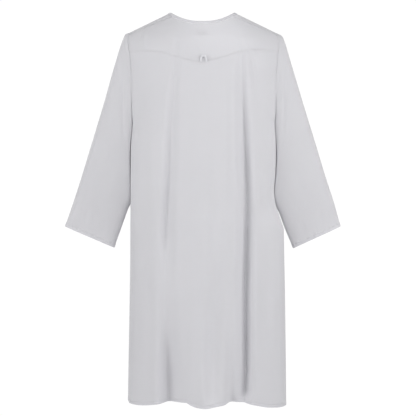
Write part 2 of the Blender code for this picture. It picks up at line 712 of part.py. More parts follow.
def front_top_side(side):
    """Across and path of the rows over one shoulder and beside the neck, and the share across lower down."""
    beside, below = front_neck_angles(side)
    neck_x, neck_path = neck_place(beside, BINDING_WIDTH + SEAM_GAP).T
    neck_path[0] += SEAM_GAP / 2
    neck_across = share_across(neck_x, crest_down(neck_x) + drop_of_path(neck_path))

    even = np.linspace(0.0, 1.0, FRONT_SHOULDER_COLUMNS + 1)
    edge = place(np.array(float(side)), SHOULDER_DOWN)
    x = edge + (neck_x[0] - edge) * even
    seam = shoulder_seam_path(x) + SEAM_GAP / 2
    seam[-1] = neck_path[0]
    seam_across = share_across(x, crest_down(x) + drop_of_path(seam))
    share = (seam_across - seam_across[0]) / (seam_across[-1] - seam_across[0])

    over = (neck_path - neck_path[0]) / (neck_path[-1] - neck_path[0])
    across = side + (neck_across[:, None] - side) * share
    path = seam + (neck_path[-1] - seam) * over[:, None]

    throat_x, throat_path = neck_place(below, BINDING_WIDTH + SEAM_GAP).T
    throat_across = share_across(throat_x, crest_down(throat_x) + drop_of_path(throat_path))
    rows = (len(beside), len(below))
    across = np.hstack([across, np.broadcast_to(throat_across, rows)])
    path = np.hstack([path, np.broadcast_to(throat_path, rows)])
    outer_part = 1.0 - (1.0 - FRONT_SHOULDER_SHARE) * even
    inner_part = FRONT_SHOULDER_SHARE * np.linspace(1.0, 0.0, len(below) + 1)[1:]
    low = side * np.sin(math.pi / 2 * np.concatenate([outer_part, inner_part]))
    return across, path, low


def front_grid():
    """Across and path, over the shoulders from the seams on the back, round the throat, to the hem."""
    sides = zip(front_top_side(-1), front_top_side(1))
    top_across, top_path, low_across = (np.concatenate([a, b[..., -2::-1]], axis=-1) for a, b in sides)
    last_path = path_at(place(low_across, UNDERARM_DOWN), UNDERARM_DOWN, 1)
    shares = np.linspace(0.0, 1.0, FRONT_TOP_ROWS + 1)[1:, None]
    path_rows = top_path[-1] + (last_path - top_path[-1]) * shares
    across_rows = top_across[-1] + (low_across - top_across[-1]) * ease(shares)
    downs = banded(UNDERARM_DOWN, FRONT_ROWS)[1:]
    hem = smooth_curve(FRONT_HEM, "down", place(low_across, HEM_DOWN))
    low_path = rows_to_hem(low_across, downs, hem, 1)
    across = np.concatenate([top_across, across_rows, np.broadcast_to(low_across, low_path.shape)])
    return across, np.concatenate([top_path, path_rows, low_path])


def make_front_panel(material):
    across, path = front_grid()
    points, normals = panel_arrays(across, path)
    thickness = turned_thickness(len(path))
    neck_gap = (FRONT_SIDE_ROWS, FRONT_SHOULDER_COLUMNS)
    return wall("front_panel", points, normals, thickness, material, gap=neck_gap)


def make_neck_binding(material):
    """A closed band round the neck, a little thicker than the cloth, with a rounded edge."""
    left, right = (np.concatenate(front_neck_angles(side)) for side in (-1, 1))
    angles = np.concatenate([left[::-1], back_neck_angles()[1:-1], right[:-1]])
    points, normals = [], []
    for row in BINDING_ROWS:
        x, path = neck_place(angles, row.share * BINDING_WIDTH).T
        across = share_across(x, crest_down(x) + drop_of_path(path))
        normal = cloth_normal(across, path)
        points.append(cloth_point(across, path) + normal * row.lift)
        normals.append(normal)
    thickness = np.array([[row.thickness] for row in BINDING_ROWS])
    return wall("neck_binding", np.array(points), np.array(normals), thickness, material, closed=True)


def armhole_paths(side):
    """Paths of the panels' points round the armhole: down the back to the underarm and up the front."""
    column = 0 if side < 0 else -1
    deepest = path_at(place(np.array(float(side)), UNDERARM_DOWN), UNDERARM_DOWN, 1)
    yoke = yoke_grid()[1][:, column]
    back = back_grid()[1][1:, column]
    front = front_grid()[1][:, column]
    back = back[back > -deepest - CLOSE]
    front = front[front < deepest - CLOSE]
    return np.concatenate([yoke, back, front[:0:-1]])


def sleeve_rings(table, along, side):
    """Points of the sleeve's outer face: rings from the armhole to the cuff."""
    path = armhole_paths(side)
    turn = math.pi * -path / -path.min()
    values = {name: smooth_curve(table, name, along)[:, None] for name in SleeveRow._fields[1:]}
    cosine, sine = np.cos(turn), np.sin(turn)
    free = ease((along - SLEEVE_LEAVING) / (SLEEVE_FREE - SLEEVE_LEAVING))[:, None]
    square = np.where(cosine > 0, SLEEVE_SQUARENESS, INNER_SQUARENESS)
    reach = (np.abs(cosine) ** square + np.abs(sine) ** square) ** (-1 / square)
    along_width, along_depth = cosine * reach, sine * reach

    def between_edges(column, name):
        outer, inner = column["outer_" + name], column["inner_" + name]
        return (outer + inner) / 2 + along_width * (outer - inner) / 2

    def ring(column):
        y = between_edges(column, "y") - along_depth * column["depth"]
        from_back = column["depth"] * (1.0 - along_depth)
        leaning = side * INNER_LEAN * free * from_back * (1.0 - along_width) / 2
        x = between_edges(column, "x") + leaning
        return np.stack(np.broadcast_arrays(x, y, -between_edges(column, "down")), axis=-1)

    first = ring({name: np.array([[getattr(table[0], name)]]) for name in SleeveRow._fields[1:]})[:1]
    armhole = cloth_point(float(side), path)
    armhole[:, 0] += side * SEAM_GAP
    fade = 1.0 - ease(along / ARMHOLE_BLEND)[:, None, None]
    return lying_beside(ring(values) + (armhole - first) * fade, along, side), path


def ring_normals(points):
    """Outward directions on rings that are closed round."""
    round_ring = np.roll(points, -1, axis=1) - np.roll(points, 1, axis=1)
    down_sleeve = np.gradient(points, axis=0)
    normals = np.cross(round_ring, down_sleeve)
    normals = normals / np.linalg.norm(normals, axis=-1, keepdims=True)
    outward = points - points.mean(axis=1, keepdims=True)
    return normals if (normals * outward).sum() > 0 else -normals


def make_sleeve(name, table, side, material):
    share = np.linspace(0.0, 1.0, SLEEVE_RINGS + 1)
    cuff_start = 1.0 - CUFF_TURN / SLEEVE_LENGTH
    cuff = np.linspace(cuff_start, 1.0, CUFF_RINGS + 1)
    along = np.concatenate([share[:-1] ** SLEEVE_CROWDING * cuff_start, cuff])
    points, path = sleeve_rings(table, along, side)
    normals = ring_normals(points)
    normals[0] = armhole_normal(np.full(len(path), float(side)), path)
    thickness = np.full((len(along), 1), CLOTH)
    thickness[-CUFF_RINGS:] = TURNED_CLOTH
    return wall(name, points, normals, thickness, material, closed=True)


def make_hanger_loop(material):
    """A narrow tape bent into an arch, with its ends at the yoke seam and its bend clear of the cloth."""
    steps = np.linspace(0.0, math.pi, LOOP_STEPS + 1)
    half = (LOOP_WIDTH - LOOP_TAPE) / 2
    cosine = np.cos(steps)
    middle_x = LOOP_CENTRE_X - half * np.sign(cosine) * np.abs(cosine) ** LOOP_LEG_POWER
    rise = np.sin(steps) ** LOOP_BEND_POWER
    foot = float(smooth_curve(YOKE_SEAM, "down", LOOP_CENTRE_X)) - LOOP_FOOT_ABOVE_SEAM
    middle_down = foot - (LOOP_HEIGHT - LOOP_TAPE / 2) * rise
    tangent = np.stack([np.gradient(middle_x), -np.gradient(middle_down)], axis=-1)
    tangent = tangent / np.linalg.norm(tangent, axis=-1, keepdims=True)
    sideways = np.stack([-tangent[:, 1], tangent[:, 0]], axis=-1)
    lift = SEAM_GAP + LOOP_TAPE_THICKNESS + LOOP_STAND_OFF * rise
    points, normals = [], []
    for reach in (-0.5, 0.0, 0.5):
        x = middle_x + sideways[:, 0] * reach * LOOP_TAPE
        down = np.minimum(middle_down - sideways[:, 1] * reach * LOOP_TAPE, foot)
        path = path_at(x, down, -1)
        across = share_across(x, down)
        normal = cloth_normal(across, path)
        points.append(cloth_point(across, path) + normal * lift[:, None])
        normals.append(normal)
    return wall("hanger_loop", np.array(points), np.array(normals), LOOP_TAPE_THICKNESS, material)


def make_neck_label(material):
    """A blank woven label on the inner face of the yoke."""
    x = np.linspace(LABEL_LEFT, LABEL_RIGHT, 5)
    down = np.linspace(LABEL_TOP_DOWN, LABEL_BOTTOM_DOWN, 4)[:, None]
    x, down = np.broadcast_arrays(x, down)
    path = path_at(x, down, -1)
    across = share_across(x, down)
    normal = cloth_normal(across, path)
    points = cloth_point(across, path) - normal * (CLOTH + LABEL_STAND_OFF)
    return wall("neck_label", points, normal, LABEL_THICKNESS, material)


def main():
    for existing in list(bpy.data.objects):
        bpy.data.objects.remove(existing)
    shirting = cloth_material("shirting", (0.66, 0.66, 0.69), 0.85)
    binding = cloth_material("neck_binding", (0.68, 0.68, 0.71), 0.80)
    tape = cloth_material("loop_tape", (0.72, 0.72, 0.75), 0.75)
    label = cloth_material("neck_label", (0.58, 0.58, 0.61), 0.70)
    make_back_yoke(shirting)
    make_back_panel(shirting)
    make_front_panel(shirting)
    make_sleeve("sleeve_left", LEFT_SLEEVE, -1, shirting)
    make_sleeve("sleeve_right", RIGHT_SLEEVE, 1, shirting)
    make_neck_binding(binding)
    make_hanger_loop(tape)
    make_neck_label(label)


main()
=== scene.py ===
"""Looks of a long plain collarless robe: fine cloth, creases, seams, stitching, floor, light and camera.

Metres, in the frame of the solids: Z is up, the back faces -Y, +X is the wearer's right, and the origin is
the middle of the neck opening. The cloth is one smooth surface. A place on it is given by "across", from -1
at the left edge to +1 at the right edge, and "path", the way along the cloth from the shoulder crest,
negative down the back and positive down the front. Heights are given as "down", the distance below the
origin. The tables are in millimetres.
"""

import math
from collections import namedtuple

import bpy
import numpy as np
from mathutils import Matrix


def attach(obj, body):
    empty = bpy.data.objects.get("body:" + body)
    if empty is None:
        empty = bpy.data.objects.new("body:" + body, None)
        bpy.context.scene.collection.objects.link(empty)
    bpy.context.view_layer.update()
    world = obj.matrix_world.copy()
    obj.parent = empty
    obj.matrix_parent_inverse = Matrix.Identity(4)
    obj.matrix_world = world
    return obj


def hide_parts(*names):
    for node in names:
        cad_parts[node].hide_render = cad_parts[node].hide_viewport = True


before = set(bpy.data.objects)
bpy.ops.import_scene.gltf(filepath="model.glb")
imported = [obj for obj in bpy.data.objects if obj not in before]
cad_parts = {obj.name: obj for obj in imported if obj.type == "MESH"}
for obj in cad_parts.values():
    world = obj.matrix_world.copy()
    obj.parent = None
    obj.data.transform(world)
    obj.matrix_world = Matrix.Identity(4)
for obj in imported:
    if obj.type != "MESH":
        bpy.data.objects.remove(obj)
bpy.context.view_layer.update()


def in_metres(kind, rows):
    """Rows of a table in millimetres, or in thousandths for a share, as named columns in metres."""
    return [kind(*(value / 1000 for value in row)) for row in rows]


# Camera. The photo is 416 pixels wide, and one pixel is 3.1 mm at the depth of the shoulder line.
PHOTO_PIXELS = 416
PIXEL = 0.0031
CAMERA_DISTANCE = 2.8
CAMERA_X = 0.017
CAMERA_Z = -0.6045
SENSOR = 36.0

# Cloth and sewing
CLOTH = 0.0006
HEM_CLOTH = 0.0015
SEAM_GAP = 0.0002
HEM_TURN = 0.010

# Shoulders and neck
NECK_HALF_WIDTH = 0.099
NECK_DROP_BACK = 0.037
NECK_DROP_FRONT = 0.110
NECK_BACK_FLATNESS = 2.4
NECK_FRONT_FLATNESS = 2.7
SHOULDER_SLOPE = 0.488
CREST_RISE = 0.024
CREST_RADIUS = 0.110
BINDING_WIDTH = 0.009
BINDING_THICKNESS = 0.0020
BINDING_RAISE = 0.0013
BINDING_STITCH = 8
NECK_EDGE = BINDING_WIDTH + SEAM_GAP

# Armholes and the way that the body's section rounds. The armhole shapes the cloth close beside it only.
UNDERARM_DOWN = 0.340
ARMHOLE_WIDEST_DOWN = 0.200
ARMHOLE_HALF_DEPTH = 0.056
SECTION_SQUARENESS = 2.6
OPEN_POWER = 0.80
CLOSED_POWER = 0.32
CLOSING_START = 0.180
CLOSING_END = 0.440
EDGE_CLOSENESS = 16

# Hanger loop and label at the back neck
LOOP_WIDTH = 0.022
LOOP_HEIGHT = 0.020
LOOP_TAPE = 0.006
LOOP_TAPE_THICKNESS = 0.0010
LOOP_STAND_OFF = 0.0045
LOOP_CENTRE_X = 0.004
LOOP_FOOT_LAP = 0.001
LOOP_LIFT = 0.0004
LOOP_CROWN = 0.0003
LOOP_STITCHES = (0.36, 0.1, 0.00015)
LABEL_LEFT, LABEL_RIGHT = -0.019, 0.014
LABEL_TOP_DOWN, LABEL_BOTTOM_DOWN = 0.066, 0.084
LABEL_THICKNESS = 0.0006
LABEL_STAND_OFF = 0.0014

# Heights at which widths are read: the shoulder points, the yoke and the hem
SHOULDER_DOWN = 0.070
YOKE_DOWN = 0.150
HEM_DOWN = 1.200

# The robe's sections: the side edges and how far the back and the front stand from the side seams
Section = namedtuple("Section", "down left right back front")
SECTIONS = in_metres(Section, [
    (0, -225, 232.5, 50, 50), (37, -225, 232.5, 67, 62),
    (62, -225.2, 232.7, 77, 72), (95, -226.2, 234.5, 89, 84),
    (150, -219.5, 228, 100, 102), (200, -216.5, 225, 106, 111),
    (270, -215.8, 224.3, 110, 117), (340, -218.8, 226.6, 113, 119),
    (370, -220.2, 227.4, 113, 119), (430, -221.6, 227.6, 114, 118),
    (500, -221.8, 225, 114, 117), (552, -221.8, 221, 115, 116),
    (586, -221.8, 224.5, 115, 116), (620, -222, 234.5, 115, 116),
    (652, -222.4, 245.5, 116, 117), (672, -222.6, 250.8, 116, 117),
    (730, -222.7, 251.8, 117, 118), (880, -224.5, 254.5, 119, 121),
    (1050, -227.5, 256.5, 123, 125), (1210, -230, 258, 127, 130),
])

# Where the back's seams run. The shoulder seam lies behind the crest, further at the neck.
SHOULDER_SEAM_PATH_AT_NECK = 0.067
SHOULDER_SEAM_PATH_AT_ARM = 0.045
SeamPlace = namedtuple("SeamPlace", "x down")
YOKE_SEAM = in_metres(SeamPlace, [
    (-230, 130), (-160, 132), (-112, 140), (-78, 152),
    (-25, 165), (0, 169), (29, 163), (80, 148),
    (120, 134), (165, 127), (238, 126),
])

# The hem: scalloped by the folds that end in it
BACK_HEM = in_metres(SeamPlace, [
    (-230, 1189), (-220, 1196.5), (-196, 1196), (-169, 1194),
    (-130, 1188.5), (-85, 1185), (-48, 1183.5), (-36, 1189.5),
    (-15, 1196), (11, 1197.5), (40, 1193.5), (68, 1188.5),
    (82, 1183.5), (105, 1184), (155, 1191.5), (200, 1201),
    (236, 1204.5), (258, 1206),
])
FRONT_HEM = in_metres(SeamPlace, [
    (-230, 1189), (-200, 1195), (-140, 1202), (-85, 1193),
    (-20, 1203), (30, 1204), (90, 1194), (160, 1205),
    (220, 1205), (258, 1206),
])

# Folds. A row says where the fold's deepest line is, how far it spreads to each side, and its depth,
# which is negative on a ridge that stands out. A keen fold narrows to a crease at its deepest line.
FoldRow = namedtuple("FoldRow", "down x left right depth")
Fold = namedtuple("Fold", "keen rows")


def fold(keen, rows):
    return Fold(keen, in_metres(FoldRow, rows))


BACK_FOLDS = {
    "long right fold": fold(0.9, [
        (50, 118, 20, 24, 0), (120, 119, 24, 28, 4), (220, 120, 28, 26, 9),
        (340, 124, 30, 26, 17), (460, 130, 34, 26, 24), (580, 134, 36, 28, 28),
        (700, 133, 40, 30, 33), (880, 130, 40, 30, 36), (1060, 130, 38, 30, 40),
        (1150, 128, 38, 30, 41), (1188, 126, 36, 30, 16), (1210, 125, 34, 30, 8),
    ]),
    "ridge beside it": fold(0.0, [
        (150, 90, 26, 22, 0), (340, 94, 28, 22, -5), (560, 98, 30, 22, -6),
        (720, 96, 30, 20, -4), (900, 94, 28, 20, 0),
    ]),
    "branch of the right fold": fold(0.4, [
        (90, 134, 12, 14, 0), (145, 142, 14, 18, 4), (200, 153, 18, 20, 4),
        (270, 160, 18, 18, 0),
    ]),
    "left fold": fold(0.8, [
        (60, -76, 18, 20, 0), (150, -80, 20, 22, 4), (340, -92, 26, 26, 9),
        (460, -97, 27, 32, 14), (580, -103, 27, 36, 18), (680, -109, 25, 40, 18),
        (750, -108, 24, 38, 7), (820, -107, 22, 36, 2), (860, -107, 22, 36, 0),
    ]),
    "broad left valley": fold(0.7, [
        (820, -108, 26, 60, 0), (950, -106, 30, 70, 9), (1050, -104, 34, 76, 28),
        (1150, -102, 36, 78, 40), (1210, -100, 36, 78, 40),
    ]),
    "right hem valley": fold(0.5, [
        (950, 88, 22, 30, 0), (1050, 88, 24, 34, 7), (1150, 88, 26, 50, 16),
        (1210, 90, 26, 70, 34),
    ]),
    "middle lobe": fold(0.0, [
        (950, 12, 50, 60, 0), (1210, 12, 50, 60, -12),
    ]),
    "shallow middle valley": fold(0.2, [
        (720, 56, 24, 24, 0), (840, 46, 34, 30, 7), (940, 36, 36, 34, 11),
        (1060, 30, 36, 36, 12), (1150, 30, 32, 34, 8), (1205, 30, 30, 30, 0),
    ]),
    "soft right valley": fold(0.0, [
        (780, 186, 26, 30, 0), (880, 187, 28, 30, 6), (980, 190, 28, 30, 5),
        (1060, 190, 28, 30, 0),
    ]),
}
FRONT_FOLDS = {
    "left front fold": fold(0.7, [
        (140, -120, 24, 24, 0), (340, -118, 26, 26, 7), (600, -112, 28, 30, 13),
        (900, -104, 34, 38, 18), (1210, -88, 46, 48, 34),
    ]),
    "right front fold": fold(0.7, [
        (260, 88, 26, 26, 0), (460, 92, 28, 28, 8), (800, 94, 36, 32, 16),
        (1210, 92, 48, 48, 36),
    ]),
    "front middle lobe": fold(0.0, [
        (700, 6, 70, 70, 0), (1210, 6, 70, 70, -12),
    ]),
    "side front fold": fold(0.3, [
        (620, 180, 26, 26, 0), (860, 184, 28, 28, 9), (1100, 182, 28, 28, 4),
        (1190, 182, 28, 28, 0),
    ]),
}
CREASE_ROUNDING = 0.10
CREASE_END = 0.7
# Folds fade out over this share of the section's rounding at the side edges
FOLD_EDGE_SHARE = 0.25

# Sleeves. A row is one ring: its outer edge, its inner edge and half its depth. The upper rings would reach
# into the body's side; they are kept outside it, so that the sleeve lies against the body.
SleeveRow = namedtuple("SleeveRow", "along outer_x outer_y outer_down inner_x inner_y inner_down depth")
LEFT_SLEEVE = in_metres(SleeveRow, [
    (0, -225, 0, 62, -218.8, 0, 340, 56),
    (25, -237.5, 1, 66.5, -218, 3, 352.4, 56),
    (60, -244.9, 3, 79.7, -215, 7, 371.2, 56),
    (160, -266.5, 8, 144.5, -213, 13, 416.9, 56),
    (350, -302.2, 16, 267.8, -212, 20, 501.5, 56),
    (550, -340.7, 22, 392.1, -213, 24, 568.5, 53),
    (750, -379.9, 27, 516.9, -228.6, 27, 610.9, 47),
    (874, -405.1, 30, 592, -247.9, 29, 663.4, 41),
    (1000, -429.9, 33, 661, -272.2, 31, 728, 34),
])
RIGHT_SLEEVE = in_metres(SleeveRow, [
    (0, 232.5, 0, 62, 226.6, 0, 340, 56),
    (25, 245, 1, 68, 225.6, 3, 352.4, 56),
    (60, 253.4, 3, 85.2, 223.5, 7, 371.2, 56),
    (160, 270.9, 8, 144.5, 220, 13, 416.9, 56),
    (350, 308.2, 16, 267.8, 217, 20, 501.5, 56),
    (550, 347.5, 22, 392.1, 212.5, 24, 568.5, 53),
    (750, 386.4, 27, 516.9, 234, 27, 619.8, 47),
    (874, 411.5, 30, 592, 252.6, 29, 668.3, 41),
    (1000, 431.1, 33, 661, 279.5, 31, 730, 34),
])
SLEEVE_LENGTH = 0.62
SLEEVE_SQUARENESS = 3.6
INNER_SQUARENESS = 6.0
INNER_LEAN = 0.16
SLEEVE_LEAVING, SLEEVE_FREE = 0.50, 0.80
ARMHOLE_BLEND = 0.30
SLEEVE_SETTLING = 0.05
SLEEVE_CLEARANCE = 0.0007
SLEEVE_CORNER = 0.0008

# Creases too fine for the solids. Each runs from one place to another, x and down on the body, and is a
# trough, or a ridge where its depth is negative. "bow" bends its middle sideways.
Crease = namedtuple("Crease", "x0 down0 x1 down1 width depth bow")
BACK_CREASES = in_metres(Crease, [
    (172, 500, 180, 640, 10, 1.6, 2),
    (186, 470, 190, 600, 8, -1.4, -2),
    (203, 560, 178, 700, 12, 1.4, 4),
    (-200, 100, -172, 50, 12, 1.2, 2),
    (-180, 45, -172, 150, 12, -1.6, 0),
    (131, 90, 146, 140, 8, -1.4, -3),
    (146, 140, 192, 132, 8, -1.2, 2),
    (-155, 700, -150, 1000, 24, 2.2, 4),
    (60, 600, 45, 780, 22, 1.8, 4),
    (-40, 500, -30, 900, 30, 2, -4),
])
FRONT_CREASES = in_metres(Crease, [
    (-60, 260, -110, 160, 14, 1.6, 4),
    (150, 250, 205, 380, 16, 2, 6),
    (-160, 280, -200, 400, 16, 2, -6),
    (20, 420, 30, 760, 30, 2.2, 4),
    (-40, 520, -50, 900, 28, 2.2, -4),
    (140, 600, 150, 900, 24, 2, 4),
])

# Cloth that is uneven all over: long soft waves, as wide as "across", as long as "along", begun at "shift"
Wave = namedtuple("Wave", "across along shift height")
BODY_WAVES = in_metres(Wave, [(61, 900, 300, 0.6), (93, 700, 1900, 0.8), (37, 500, 4100, 0.3)])

# The waves grow from the yoke down and are still at the side edges. Those of the front are shifted.
WAVES_START, WAVES_GROWING = 0.2, 0.5
WAVES_STILLNESS = 8
WAVES_DRIFT, WAVES_DRIFT_RATE = 0.8, 3.1
FRONT_WAVES_SHIFT = 0.11

# Half the body's width at the yoke and just below the underarms, which scales the charts
YOKE_HALF_WIDTH, HALF_WIDTH = ((SECTIONS[n].right - SECTIONS[n].left) / 2 for n in (4, 8))

# How finely each piece is divided, in metres between rows or columns
EVEN_STEP = 0.0044
ROW_STEP = 0.0052
FOLD_STEP = 0.0022
FOLD_REACH = 0.022
FOLDS_READ_DOWN = 0.7
SEAM_STEP = 0.0009
SEAM_REACH = 0.010
SETTLING_STEPS = 12
HALVINGS = 40

# Where columns are fine for the folds' lines, and about how long the pieces are
FOLD_LINES = (0.127, 0.100, -0.095)
BACK_PANEL_LENGTH = 1.03
YOKE_LENGTH = 0.11
FRONT_LOW_LENGTH = 0.86
# The front's top in shares: steps over the shoulder, fine at the armhole, and steps down the chest
SHOULDER_SHARE_STEP, SHOULDER_FINE = 0.030, (0.0, 0.06, 0.007)
CHEST_SHARE_STEP = 0.021
BESIDE_NECK_ROWS, THROAT_COLUMNS = 25, 41
NECK_STATIONS = 800
ROUND_ARM_STEP, ROUND_ARM_FINE = 0.0125, (0.0, 0.06, 0.006)


def unit(vectors):
    return vectors / np.linalg.norm(vectors, axis=-1, keepdims=True)


def smooth_curve(table, column, at):
    """A table's column at these places in its first column, on a curve that never overshoots the rows."""
    stations = np.array([row[0] for row in table])
    values = np.array([getattr(row, column) for row in table])
    at = np.clip(np.asarray(at, float), stations[0], stations[-1])
    steps = np.diff(stations)
    slopes = np.diff(values) / steps
    tangents = np.empty(len(stations))
    tangents[0], tangents[-1] = slopes[0], slopes[-1]
    before, after = slopes[:-1], slopes[1:]
    same_way = before * after > 0
    total = np.where(same_way, before + after, 1.0)
    tangents[1:-1] = np.where(same_way, 2.0 * before * after / total, 0.0)
    k = np.clip(np.searchsorted(stations, at, side="right") - 1, 0, len(steps) - 1)
    t = (at - stations[k]) / steps[k]
    start, end = values[k], values[k + 1]
    leave, arrive = tangents[k] * steps[k], tangents[k + 1] * steps[k]
    return (
        start * (2 * t**3 - 3 * t**2 + 1)
        + leave * (t**3 - 2 * t**2 + t)
        + end * (3 * t**2 - 2 * t**3)
        + arrive * (t**3 - t**2)
    )


def ease(t):
    """From 0 to 1 with no slope at either end."""
    t = np.clip(t, 0.0, 1.0)
    return t * t * (3.0 - 2.0 * t)


def bell(t):
    """1 at the middle, 0 from -1 and +1 outwards."""
    return 0.5 * (1.0 + np.cos(math.pi * np.clip(t, -1.0, 1.0)))


def crease(t):
    """1 at the middle, 0 from -1 and +1 outwards, steepest beside the middle."""
    near = np.sqrt(np.clip(t, -1.0, 1.0) ** 2 + CREASE_ROUNDING**2) - CREASE_ROUNDING
    return (1.0 - near / (math.sqrt(1.0 + CREASE_ROUNDING**2) - CREASE_ROUNDING)) ** 2


def crest_down(x):
    """How far the shoulder crest lies below the origin. Inside the neck it is the line it would follow."""
    beside_neck = SHOULDER_SLOPE * (np.abs(x) - NECK_HALF_WIDTH)
    over_neck = CREST_RISE * ((x / NECK_HALF_WIDTH) ** 2 - 1.0)
    return np.where(np.abs(x) > NECK_HALF_WIDTH, beside_neck, over_neck)


def drop_of_path(path):
    """How far the cloth has come down below the crest after this way along it."""
    path = np.abs(path)
    quarter = CREST_RADIUS * math.pi / 2
    turning = CREST_RADIUS * (1.0 - np.cos(np.minimum(path, quarter) / CREST_RADIUS))
    return turning + np.maximum(path - quarter, 0.0)


def down_at(x, path):
    return crest_down(x) + drop_of_path(path)


def path_of_drop(drop):
    turning = np.clip(drop / CREST_RADIUS, 0.0, 1.0)
    return CREST_RADIUS * np.arccos(1.0 - turning) + np.maximum(drop - CREST_RADIUS, 0.0)


def edge_depth(down):
    """Half the armhole's depth at this height, closing to nothing at the underarm."""
    t = (down - ARMHOLE_WIDEST_DOWN) / (UNDERARM_DOWN - ARMHOLE_WIDEST_DOWN)
    return ARMHOLE_HALF_DEPTH * np.sqrt(1.0 - np.clip(t, 0.0, 1.0) ** 2)


def fold_depth(folds, x, down):
    """How far all the folds together pull the cloth inwards."""
    total = np.zeros(np.broadcast(x, down).shape)
    for keen, rows in folds.values():
        centre, left, right, depth = (smooth_curve(rows, name, down) for name in FoldRow._fields[1:])
        reach = (x - centre) / np.where(x < centre, left, right)
        above = down < rows[0].down
        form = bell(reach) + keen * (crease(reach) - bell(reach))
        total = total + np.where(above | (depth == 0.0), 0.0, depth * form)
    return total


def side_edges(down):
    return smooth_curve(SECTIONS, "left", down), smooth_curve(SECTIONS, "right", down)


def place(across, down):
    """The x that lies this share of the way from the middle to an edge."""
    left, right = side_edges(down)
    return (left + right) / 2 + across * (right - left) / 2


def share_across(x, down):
    left, right = side_edges(down)
    return np.clip((2 * x - left - right) / (right - left), -1.0, 1.0)


def share_at(x, path):
    return share_across(x, down_at(x, path))


def section_depth(across, down, back):
    """How far the body's cloth stands from the side seams, without its folds, and how that rounds off."""
    reach = np.where(back, smooth_curve(SECTIONS, "back", down), smooth_curve(SECTIONS, "front", down))
    closing = ease((down - CLOSING_START) / (CLOSING_END - CLOSING_START))
    beside_edge = ARMHOLE_HALF_DEPTH * (1.0 - closing)
    edge = beside_edge + (edge_depth(down) - beside_edge) * np.abs(across) ** EDGE_CLOSENESS
    power = OPEN_POWER + (CLOSED_POWER - OPEN_POWER) * closing
    rounding = (1.0 - np.abs(across) ** SECTION_SQUARENESS) ** power
    return edge + (reach - edge) * rounding, rounding


def body_side(y, down, side):
    """The x of the body's side at this depth and height, found by halving."""
    low, high = np.zeros(y.shape), np.ones(y.shape)
    for _ in range(HALVINGS):
        middle = (low + high) / 2
        beyond = section_depth(middle, down, y < 0)[0] < np.abs(y)
        low, high = np.where(beyond, low, middle), np.where(beyond, middle, high)
    return place(side * low, down)


def lying_beside(points, along, side):
    """The sleeve's rings, kept off the body: its inner side lies against the body's side."""
    settled = ease(along / SLEEVE_SETTLING)[:, None]
    limit = side * body_side(points[..., 1], -points[..., 2], side) + SLEEVE_CLEARANCE * settled
    over = (side * points[..., 0] - limit) / 2
    x = side * (limit + over + np.sqrt(over**2 + (SLEEVE_CORNER * settled) ** 2))
    return np.stack([x, points[..., 1], points[..., 2]], axis=-1)


def cloth_point(across, path):
    """The outer face of the body's cloth."""
    across, path = np.broadcast_arrays(np.asarray(across, float), np.asarray(path, float))
    down = drop_of_path(path)
    for _ in range(SETTLING_STEPS):
        x = place(across, down)
        down = down_at(x, path)
    x = place(across, down)
    back = path < 0
    depth, rounding = section_depth(across, down, back)
    over_crest = np.sin(np.minimum(np.abs(path) / CREST_RADIUS, math.pi / 2))
    depth = depth * over_crest
    folds = np.where(back, fold_depth(BACK_FOLDS, x, down), fold_depth(FRONT_FOLDS, x, down))
    depth = depth - folds * over_crest * np.minimum(1.0, rounding / FOLD_EDGE_SHARE)
    return np.stack([x, np.where(back, -depth, depth), -down], axis=-1)


def cloth_normal(across, path):
    """The outward direction, from the slope of the surface just inside its edges."""
    small = 0.002
    inside = np.clip(across, -1.0 + 2 * small, 1.0 - 2 * small)
    along_x = cloth_point(inside + small, path) - cloth_point(inside - small, path)
    along_path = cloth_point(inside, path + small) - cloth_point(inside, path - small)
    return unit(np.cross(along_x, along_path))


def path_at(x, down, side):
    """The path to this height, on the back for side -1 and on the front for side +1."""
    return side * path_of_drop(down - crest_down(x))


def neck_place(angle, offset):
    """x and path on a line that runs round the neck, `offset` away from its edge. Angle 0 is the nape."""

    def edge(at):
        x = NECK_HALF_WIDTH * np.sin(at)
        on_back = np.cos(at) > 0
        nape = NECK_DROP_BACK * (1.0 - np.abs(np.sin(at)) ** NECK_BACK_FLATNESS)
        throat = NECK_DROP_FRONT * (1.0 - np.abs(np.sin(at)) ** NECK_FRONT_FLATNESS)
        down = np.where(on_back, nape, throat)
        drop = np.maximum(down - crest_down(x), 0.0)
        return np.stack([x, np.where(on_back, -1.0, 1.0) * path_of_drop(drop)], axis=-1)

    small = 0.01
    here = edge(angle)
    along = edge(angle + small) - edge(angle - small)
    return here - offset * unit(np.stack([-along[..., 1], along[..., 0]], axis=-1))


def shoulder_seam_path(x):
    along = (np.abs(x) - NECK_HALF_WIDTH) / (SECTIONS[0].right - NECK_HALF_WIDTH)
    return -SHOULDER_SEAM_PATH_AT_NECK - (SHOULDER_SEAM_PATH_AT_ARM - SHOULDER_SEAM_PATH_AT_NECK) * along


def corner_angle(offset, side):
    """Where the neck line meets the shoulder seam, found by halving."""
    low, high = 0.3, math.pi / 2
    for _ in range(HALVINGS):
        middle = (low + high) / 2
        x, path = neck_place(np.array(side * middle), offset)
        if path < shoulder_seam_path(x):
            low = middle
        else:
            high = middle
    return side * (low + high) / 2


def yoke_seam_path(x):
    return path_at(x, smooth_curve(YOKE_SEAM, "down", x), -1)


def spread(start, end, step, fine=()):
    """Stations about `step` apart, and closer near the places given as (at, reach, step)."""
    stations = [start]
    while stations[-1] < end:
        width = step
        for at, reach, near_step in fine:
            outside = max(abs(stations[-1] - at) / reach - 1.0, 0.0)
            width = min(width, near_step + (step - near_step) * min(outside, 1.0))
        stations.append(stations[-1] + width)
    stations = np.array(stations)
    return start + (stations - start) * (end - start) / (stations[-1] - start)


